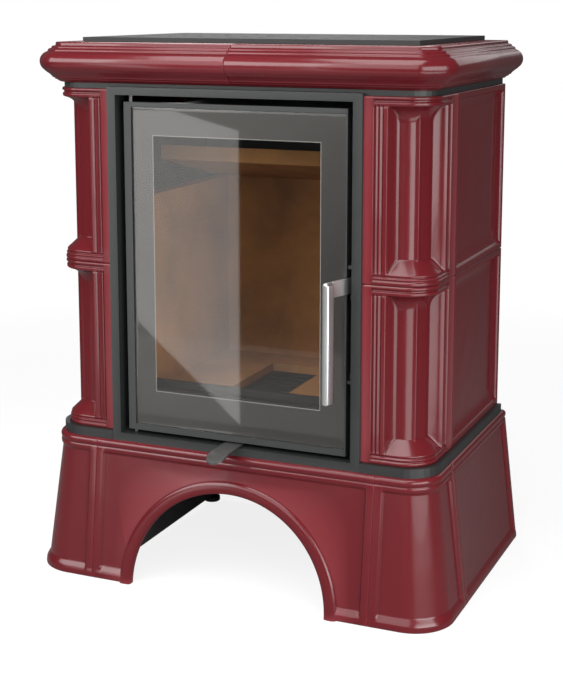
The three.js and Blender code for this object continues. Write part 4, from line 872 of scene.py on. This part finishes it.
def door_seal_piece():
    """A rope laid round the back of the door."""
    low, high = span("door_seal")
    half_depth = (high[1] - low[1]) / 2
    loops = []
    for angle in full_turn(12):
        inset = ROPE_HALF_WIDTH * (1 - math.cos(angle))
        y = middle("door_seal")[1] + half_depth * math.sin(angle)
        loops.append(upright_loop(low, high, inset, ROPE_CORNER - inset, y, 8))
    return loft("door_rope", loops, ring=True, sharp_degrees=60)


def glass_pieces(sizes):
    """The pane with polished edges, the dark border printed on its back, and its hairline."""
    low, high = span("door_glass")
    back = high[1]
    edge = soften([[PANE_EDGE, low[1]], [0, low[1]], [0, back], [PANE_EDGE, back]], 0.6)
    pane = loft("door_pane", [upright_loop(low, high, inset, 2.0, y) for inset, y in edge], sharp_degrees=50)
    left, right, bottom, top = sizes.print_border
    window = ([low[0] + left, 0, low[2] + bottom], [high[0] - right, 0, high[2] - top])
    front_y, back_y = back + PRINT_FRONT, back + PRINT_BACK
    outer = [upright_loop(low, high, 0.8, 1.5, y) for y in (front_y, back_y)]
    inner = [upright_loop(*window, 0, 1.0, y) for y in (back_y, front_y)]
    border = loft("door_print", outer + inner, ring=True, sharp_degrees=50)
    hairline = [upright_loop(*window, inset, 1.0, y) for inset, y in (
        (HAIRLINE_START, front_y), (HAIRLINE_START, back_y),
        (HAIRLINE_END, back_y), (HAIRLINE_END, front_y))]
    line = loft("door_print_line", hairline, ring=True, sharp_degrees=50)
    return pane, border, line


def handle_bar_piece():
    """A solid bar with a domed head and a softly rounded section."""
    bottom, top = (corner[2] for corner in span("handle_bar"))
    axis = middle("latch_spindle")
    dome = GRIP_HALF_WIDTH
    levels = [(bottom, 0.86), (bottom + 0.7, 0.96), (bottom + 2.0, 1.0), (top - dome, 1.0)]
    for i in range(1, 11):
        angle = math.pi / 2 * i / 10
        levels.append((top - dome + dome * math.sin(angle), max(0.02, math.cos(angle))))
    loops = []
    for z, share in levels:
        depth = GRIP_HALF_DEPTH * (0.75 + 0.25 * share if z >= top - dome else 1.0)
        loop = []
        for angle in full_turn(40):
            c, s = math.cos(angle), math.sin(angle)
            x = GRIP_HALF_WIDTH * share * math.copysign(abs(c) ** 0.5, c)
            y = -GRIP_REACH + depth * math.copysign(abs(s) ** 0.5, s)
            loop.append((axis[0] + x * math.cos(GRIP_TURN) - y * math.sin(GRIP_TURN),
                         axis[1] + x * math.sin(GRIP_TURN) + y * math.cos(GRIP_TURN), z))
        loops.append(loop)
    return loft("handle_grip", loops, sharp_degrees=50)


def pin_piece(name, node, chamfer=0.6):
    """A turned pin or foot in the place of its faceted solid."""
    low, high = span(node)
    radius = min(high[0] - low[0], high[1] - low[1]) / 2
    profile = [(AXIS_RADIUS, low[2]), (radius - chamfer, low[2]), (radius, low[2] + chamfer),
               (radius, high[2] - chamfer), (radius - chamfer, high[2]), (AXIS_RADIUS, high[2])]
    return turned(name, profile, middle(node))


def throat_plate():
    """A narrow plate across the smoke way over the baffle, between the sides of the shell."""
    baffle = span("baffle")[1]
    shell_low, shell_high = span("firebox_shell")
    y0 = baffle[1] - THROAT_BEFORE_REAR
    y1 = y0 + THROAT_THICK
    z0 = baffle[2] - THROAT_DOWN
    z1 = baffle[2] + THROAT_UP
    ends = [[(x, y0, z0), (x, y1, z0), (x, y1, z1), (x, y0, z1)]
            for x in (shell_low[0] + SHELL_WALL, shell_high[0] - SHELL_WALL)]
    return loft("throat_plate", ends)


def flue_collar_piece():
    """A spigot with a flange at the stove and a groove near its end."""
    low, high = span("flue_collar")
    start, end = low[1], high[1]
    flange = (high[0] - low[0]) / 2
    tube = flange - FLUE_FLANGE
    inner = tube - FLUE_WALL
    flange_back = start + FLUE_FLANGE_THICK
    groove = [(0, end - 26), (-FLUE_GROOVE, end - 23), (0, end - 20)]
    profile = [[inner, start], [flange, start], [flange, flange_back], [tube + 1.5, flange_back],
               [tube, flange_back + 2]]
    profile += [[tube + sink, y] for sink, y in groove] + [[tube, end], [inner, end]]
    profile += [[inner + sink, y] for sink, y in reversed(groove)]
    return turned("flue_spigot", soften(profile, 0.5, 2, closed=True), middle("flue_collar"),
                  upright=False, steps=72)


# ---- property groups
def number(name, text, value, **settings):
    """A number that a user may change."""
    return bpy.props.FloatProperty(name=name, description=text, default=value, **settings)


def numbers(name, text, values, **settings):
    """A few numbers that belong together."""
    return bpy.props.FloatVectorProperty(
        name=name, description=text, default=values, size=len(values), **settings)


def count(name, text, value):
    """A whole number of steps."""
    return bpy.props.IntProperty(name=name, description=text, default=value, min=1)


def colour(name, text, value):
    """A linear colour."""
    return numbers(name, text, value, subtype="COLOR", min=0, max=1)


def power(name, text, value):
    """A lamp's power."""
    return number(name, text, value, min=0, unit="POWER")


class StoveColours(bpy.types.PropertyGroup):
    """Base colours of the finishes, as linear values."""

    glaze: colour("Glaze", "The glaze between its deeper clouds", (0.101, 0.0084, 0.0121))
    glaze_deep: colour("Deep glaze", "Clouds of a deeper red", (0.112, 0.0078, 0.0112))
    glaze_pooled: colour("Pooled glaze", "Glaze that ran into grooves", (0.042, 0.0030, 0.0045))
    # paler colour of raised edges: thin glaze and a painted highlight
    glaze_edge: colour("Thin glaze and painted highlight", "Glaze drawn thin on raised edges, with a painted highlight", (0.30, 0.050, 0.060))
    frame_paint: colour("Frame paint", "Surround and door", (0.015, 0.016, 0.016))
    band_paint: colour("Band paint", "Band and carrier", (0.009, 0.009, 0.009))
    sheet_paint: colour("Sheet paint", "Firebox, niche and other sheet steel", (0.030, 0.030, 0.030))
    iron: colour("Iron", "Top plate and grate", (0.030, 0.031, 0.031))
    handle_steel: colour("Handle steel", "The handle's bar and arm", (0.78, 0.78, 0.78))
    lining: colour("Lining", "Vermiculite boards", (0.46, 0.22, 0.075))
    lining_pale: colour("Pale lining", "Lighter patches of the boards", (0.56, 0.30, 0.12))
    lining_flake: colour("Lining flakes", "Dark flakes in the boards", (0.25, 0.13, 0.06))
    glass_print: colour("Glass print", "Border printed on the door glass", (0.150, 0.151, 0.156))
    glass_tint: colour("Glass tint", "What the pane lets through", (0.86, 0.85, 0.83))


class StoveSizes(bpy.types.PropertyGroup):
    """Sizes of the fine shapes, in millimetres, and how finely curves are stepped."""

    flute_steps: count("Flute steps", "Steps across half a flute", 18)
    cove_steps: count("Cove steps", "Steps up the capital's cove", 12)
    corner_steps: count("Corner steps", "Steps round a corner of the plinth", 20)
    arch_steps: count("Arch steps", "Steps round the arch", 64)
    clip_softening: number("Clip softening", "How far the cornice's clipped corners are eased", 7.0)
    field_sink: number("Field sink", "How far a side tile's field lies below its rim", 11.0)
    field_swell: number("Field swell", "How far a side tile's field swells at its middle", 1.4)
    print_border: numbers(
        "Print border", "Printed border at left, right, bottom and top", (42.0, 48.0, 66.0, 51.0))


class StageSettings(bpy.types.PropertyGroup):
    """The floor, the lamps and the camera."""

    floor_tone: number("Floor tone", "How pale the floor is near the stove", 0.17, min=0, max=1)
    floor_far_tone: number("Far floor tone", "How pale it is far off", 0.05, min=0, max=1)
    floor_lift: number("Floor lift", "White that only the camera and mirrors see on it", 0.84)
    floor_fade_start: number("Floor fade start", "Where it starts to turn to white backdrop", 0.9)
    floor_fade_end: number("Floor fade end", "Where it is all white backdrop", 2.6)
    mirrored_share: number("Mirrored share", "Share of the backdrop that polished faces mirror", 0.04)
    world_level: number("World level", "Strength of the even light from all round", 0.05)
    card_power: power("Card power", "Upright card whose image stands in the door glass", 10.2)
    key_power: power("Key power", "Softbox high at the front left", 45)
    front_power: power("Front power", "Wide softbox above the camera", 47)
    fill_power: power("Fill power", "Wide softbox at the front right", 62)
    top_power: power("Top power", "Softbox above", 56)
    rim_right_power: power("Rim power", "Weak softbox behind, at the right", 3.5)
    low_power: power("Low power", "Small softbox on the floor that lights the plinth's corner", 5.0)
    sheet_power: power("Sheet power", "White sheet on the floor, mirrored by the plinth's top", 2.9)
    back_power: power("Back power", "Softbox behind the stove", 18)
    camera_place: numbers("Camera place", "Where the camera stands", (1.0927, -2.5245, 1.1032),
                          subtype="TRANSLATION", unit="LENGTH")
    camera_turn: numbers("Camera turn", "The camera's rotation in degrees", (80.45, 0.0, 23.28))
    lens: number("Lens", "Focal length in mm on 36 mm", 76.04)
    shift: number("Shift", "Vertical shift of the lens", -0.14)


# ---- operators
class BuildOperator:
    """What the operators share: they can be undone."""

    bl_options = {"REGISTER", "UNDO"}


class STOVE_OT_corner_tiles(BuildOperator, bpy.types.Operator):
    """Four fluted corner tiles, two on each side"""

    bl_idname = "stove.corner_tiles"
    bl_label = "Corner tiles"

    def execute(self, context):
        for row in ("lower", "upper"):
            loops = corner_tile_loops(f"{row}_corner_tile_right", context.scene.stove_sizes)
            glazed_pairs((f"{row}_fluted_tile", f"{row}_corner_tile", loops))
        return {"FINISHED"}


class STOVE_OT_side_tiles(BuildOperator, bpy.types.Operator):
    """Four flat side tiles with a raised rim"""

    bl_idname = "stove.side_tiles"
    bl_label = "Side tiles"

    def execute(self, context):
        for row in ("lower", "upper"):
            loops = side_tile_loops(f"{row}_side_tile_right", context.scene.stove_sizes)
            glazed_pairs((f"{row}_flat_tile", f"{row}_side_tile", loops))
        return {"FINISHED"}


class STOVE_OT_cornice(BuildOperator, bpy.types.Operator):
    """The two halves of the glazed cornice"""

    bl_idname = "stove.cornice"
    bl_label = "Cornice"

    def execute(self, context):
        glazed_pairs(("cornice_half", "cornice", cornice_loops(context.scene.stove_sizes)))
        return {"FINISHED"}


class STOVE_OT_plinth(BuildOperator, bpy.types.Operator):
    """The splayed plinth: front with the arch, two corners and two sides"""

    bl_idname = "stove.plinth"
    bl_label = "Plinth"

    def execute(self, context):
        sizes = context.scene.stove_sizes
        glazed_pairs(("plinth_end", "plinth_corner", plinth_corner_loops(sizes)),
                     ("plinth_flank", "plinth_side", plinth_side_loops()))
        stand_in(plinth_front(sizes), "plinth_front_arch", "root", burgundy_glaze)
        bead = loft("plinth_front_bead", arch_bead_loops(sizes))
        dress(bead, finish(burgundy_glaze))
        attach(bead, "root")
        return {"FINISHED"}


class STOVE_OT_steel_casing(BuildOperator, bpy.types.Operator):
    """Painted steel round the tiles: band, carrier, surround, rear panel and top plate"""

    bl_idname = "stove.steel_casing"
    bl_label = "Steel casing"

    def execute(self, context):
        dress_nodes(band_enamel, 1.2, ["shelf_band"])
        dress_nodes(band_enamel, 0.6, ["cornice_carrier"])
        dress_nodes(frame_enamel, 1.0, ["door_surround"])
        dress_nodes(black_sheet, 0.5, ["rear_panel"])
        dress_nodes(cast_iron, 0.5, ["top_plate"])
        return {"FINISHED"}


class STOVE_OT_door(BuildOperator, bpy.types.Operator):
    """The door leaf with its glass, printed border, strips, seal and lugs"""

    bl_idname = "stove.door"
    bl_label = "Door"

    def execute(self, context):
        dress_nodes(frame_enamel, 0.6, ["door_frame", "glass_strip_top", "glass_strip_bottom"])
        dress_nodes(frame_enamel, 0.4, ["latch_lug_lower", "latch_lug_upper"], 2)
        pane, border, line = glass_pieces(context.scene.stove_sizes)
        stand_in(pane, "door_glass", "door", door_glass)
        for print_layer, maker in ((border, printed_border), (line, printed_line)):
            dress(print_layer, finish(maker))
            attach(print_layer, "door")
        stand_in(door_seal_piece(), "door_seal", "door", rope)
        return {"FINISHED"}


class STOVE_OT_handle(BuildOperator, bpy.types.Operator):
    """The handle with its latch, the keepers and the hinge pins"""

    bl_idname = "stove.handle"
    bl_label = "Handle and latch"

    def execute(self, context):
        stand_in(handle_bar_piece(), "handle_bar", "handle", satin_steel)
        spindle = pin_piece("spindle_rod", "latch_spindle")
        stand_in(spindle, "latch_spindle", "handle", bare_steel)
        dress_nodes(satin_steel, 0.8, ["handle_arm"])
        dress_nodes(bare_steel, 0.3, [
            "latch_claw_lower", "latch_claw_upper", "latch_keeper_lower", "latch_keeper_upper"], 2)
        for node in ("hinge_pin_lower", "hinge_pin_upper"):
            stand_in(pin_piece(f"{node}_rod", node), node, "root", bare_steel)
        return {"FINISHED"}


class STOVE_OT_air_control(BuildOperator, bpy.types.Operator):
    """The air lever and the slide that it pushes, with the duct"""

    bl_idname = "stove.air_control"
    bl_label = "Air control"

    def execute(self, context):
        dress_nodes(bare_steel, 0.7, ["air_lever", "air_slide"])
        dress_nodes(black_sheet, 0.6, ["air_duct"])
        return {"FINISHED"}


class STOVE_OT_firebox(BuildOperator, bpy.types.Operator):
    """The steel firebox with its lining, baffle, grate, guard, ash pan and flue"""

    bl_idname = "stove.firebox"
    bl_label = "Firebox"

    def execute(self, context):
        dress_nodes(black_sheet, 0.6, ["firebox_shell", "hearth_plate", "ash_pan", "smoke_deflector"])
        dress_nodes(cast_iron, 1.0, ["grate", "log_guard"])
        dress_nodes(vermiculite, 2.0, [
            "hearth_lining_right", "hearth_lining_left", "side_lining_right", "side_lining_left",
            "back_lining", "baffle"])
        throat = throat_plate()
        dress(throat, finish(black_sheet))
        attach(throat, "root")
        stand_in(flue_collar_piece(), "flue_collar", "root", black_sheet)
        return {"FINISHED"}


class STOVE_OT_niche(BuildOperator, bpy.types.Operator):
    """The sheet steel niche in the plinth, and the feet"""

    bl_idname = "stove.niche"
    bl_label = "Wood niche"

    def execute(self, context):
        dress_nodes(black_sheet, 0.5, ["niche_side_right", "niche_side_left", "niche_ceiling", "niche_back"])
        for corner in ("front_foot_right", "front_foot_left", "rear_foot_right", "rear_foot_left"):
            foot = pin_piece(f"{corner}_pad", corner, 1.2)
            stand_in(foot, corner, "root", cast_iron)
        return {"FINISHED"}


# ---- stage
STOVE_MIDDLE = (0, 0, 0.55)
FLOOR_HALF_WIDTH = 12.0
FAR_CLIP = 60
SENSOR_WIDTH = 36
# each lamp's name, place, the point it faces, width and height, in metres
LAMPS = (
    ("card", (-1.025, -1.865, 0.39), (-1.782, -1.212, 0.39), 1.758, 0.78),
    ("key", (-1.9, -1.9, 1.75), STOVE_MIDDLE, 1.8, 1.4),
    ("front", (-0.3, -2.7, 1.95), (0, -0.2, 0.95), 2.6, 2.4),
    ("fill", (2.4, -1.6, 1.1), STOVE_MIDDLE, 2.4, 1.6),
    ("top", (0.1, -0.95, 2.8), (0, -0.1, 0.6), 1.9, 1.9),
    ("rim_right", (0.75, 2.6, 1.75), STOVE_MIDDLE, 1.6, 1.0),
    ("low", (1.135, -0.76, 0.25), (0.38, -0.27, 0.2), 1.1, 0.46),
    ("sheet", (-0.9, -1.5, 0.03), (-0.9, -1.5, 1), 3.0, 0.8),
    ("back", (-1.2, 2.6, 1.8), STOVE_MIDDLE, 1.4, 1.4),
)


def backdrop_share(n, mirrored_share):
    """How much of the white backdrop a ray sees: all of it for the camera and through
    glass, a share of it in a polished face, and none for light on the object."""
    total = n.maths(n.add("LightPath", {}, "Is Glossy Ray"), mirrored_share, "MULTIPLY")
    for name in ("Is Camera Ray", "Is Transmission Ray"):
        total = n.maths(total, n.add("LightPath", {}, name), "MAXIMUM")
    return total


class STOVE_OT_stage(BuildOperator, bpy.types.Operator):
    """A pale floor, soft studio light and the camera"""

    bl_idname = "stove.stage"
    bl_label = "Stage"

    def execute(self, context):
        scene = context.scene
        settings = scene.stove_stage
        self.build_floor(scene, settings)
        self.build_world(scene, settings)
        for name, place, target, width, height in LAMPS:
            self.build_lamp(scene, name, place, target, width, height, getattr(settings, f"{name}_power"))
        self.build_camera(scene, settings)
        scene.view_settings.view_transform = "Standard"
        return {"FINISHED"}

    def build_floor(self, scene, settings):
        half = FLOOR_HALF_WIDTH
        corners = [(-half, -half, 0), (half, -half, 0), (half, half, 0), (-half, half, 0)]
        mesh = bpy.data.meshes.new("floor")
        mesh.from_pydata(corners, [], [(0, 1, 2, 3)])
        floor = bpy.data.objects.new("floor", mesh)
        scene.collection.objects.link(floor)
        n = Nodes(bpy.data.materials.new("floor_paint"))
        reach = n.add("VectorMath", {0: n.place()}, "Value", operation="LENGTH")
        far = n.fit(reach, 0.0, 1.0, settings.floor_fade_start, settings.floor_fade_end)
        tone = n.fit(n.noise(1.2, 2), settings.floor_tone, settings.floor_tone + 0.02)
        tone = n.blend(far, tone, (settings.floor_far_tone,) * 3)
        lit = n.glossy_paint(tone, 0.8, Specular_IOR_Level=0.1)
        seen = backdrop_share(n, settings.mirrored_share)
        level = n.maths(seen, settings.floor_lift, "MULTIPLY")
        near = n.add("AddShader", {0: lit, 1: n.add("Emission", {"Color": WHITE, "Strength": level})})
        white = n.add("Emission", {"Color": WHITE, "Strength": 1.0})
        share = n.maths(far, seen, "MULTIPLY")
        dress(floor, n.end(n.add("MixShader", {0: share, 1: near, 2: white})))

    def build_world(self, scene, settings):
        n = Nodes(bpy.data.worlds.new("studio"), "OutputWorld")
        light = n.add("Background", {"Color": WHITE, "Strength": settings.world_level})
        white = n.add("Background", {"Color": WHITE, "Strength": 1.0})
        seen = backdrop_share(n, settings.mirrored_share)
        scene.world = n.end(n.add("MixShader", {0: seen, 1: light, 2: white}))

    def build_lamp(self, scene, name, place, target, width, height, watts):
        """A softbox that the camera doesn't see, turned to a point."""
        data = bpy.data.lights.new(name, "AREA")
        data.shape = "RECTANGLE"
        data.size = width
        data.size_y = height
        data.energy = watts
        lamp = bpy.data.objects.new(name, data)
        lamp.location = place
        lamp.visible_camera = False
        lamp.rotation_euler = (Vector(target) - Vector(place)).to_track_quat("-Z", "Y").to_euler()
        scene.collection.objects.link(lamp)

    def build_camera(self, scene, settings):
        data = bpy.data.cameras.new("camera")
        data.lens = settings.lens
        data.sensor_width = SENSOR_WIDTH
        data.shift_y = settings.shift
        data.clip_end = FAR_CLIP
        camera = bpy.data.objects.new("camera", data)
        camera.location = settings.camera_place
        camera.rotation_euler = [math.radians(v) for v in settings.camera_turn]
        scene.collection.objects.link(camera)
        scene.camera = camera


# ---- add-on
GROUPS = {"stove_colours": StoveColours, "stove_sizes": StoveSizes, "stove_stage": StageSettings}
STEPS = (
    STOVE_OT_corner_tiles, STOVE_OT_side_tiles, STOVE_OT_cornice, STOVE_OT_plinth,
    STOVE_OT_steel_casing, STOVE_OT_door, STOVE_OT_handle, STOVE_OT_air_control,
    STOVE_OT_firebox, STOVE_OT_niche, STOVE_OT_stage,
)


class STOVE_PT_build(bpy.types.Panel):
    """Shows what a user may change, and lists the stove's pieces in the order they are built"""

    bl_label = "Tiled stove"
    bl_idname = "STOVE_PT_build"
    bl_space_type = "VIEW_3D"
    bl_region_type = "UI"
    bl_category = "Tiled stove"

    def draw(self, context):
        for name, group in GROUPS.items():
            box = self.layout.box()
            box.label(text=group.__name__)
            for value in group.__annotations__:
                box.prop(getattr(context.scene, name), value)
        for step in STEPS:
            self.layout.operator(step.bl_idname)


CLASSES = (*GROUPS.values(), *STEPS, STOVE_PT_build)


def register():
    for cls in CLASSES:
        bpy.utils.register_class(cls)
    for name, group in GROUPS.items():
        setattr(bpy.types.Scene, name, bpy.props.PointerProperty(type=group))


def unregister():
    for name in GROUPS:
        delattr(bpy.types.Scene, name)
    for cls in reversed(CLASSES):
        bpy.utils.unregister_class(cls)


def main():
    register()
    for step in STEPS:
        group, call = step.bl_idname.split(".")
        getattr(getattr(bpy.ops, group), call)()


if __name__ == "__main__":
    main()
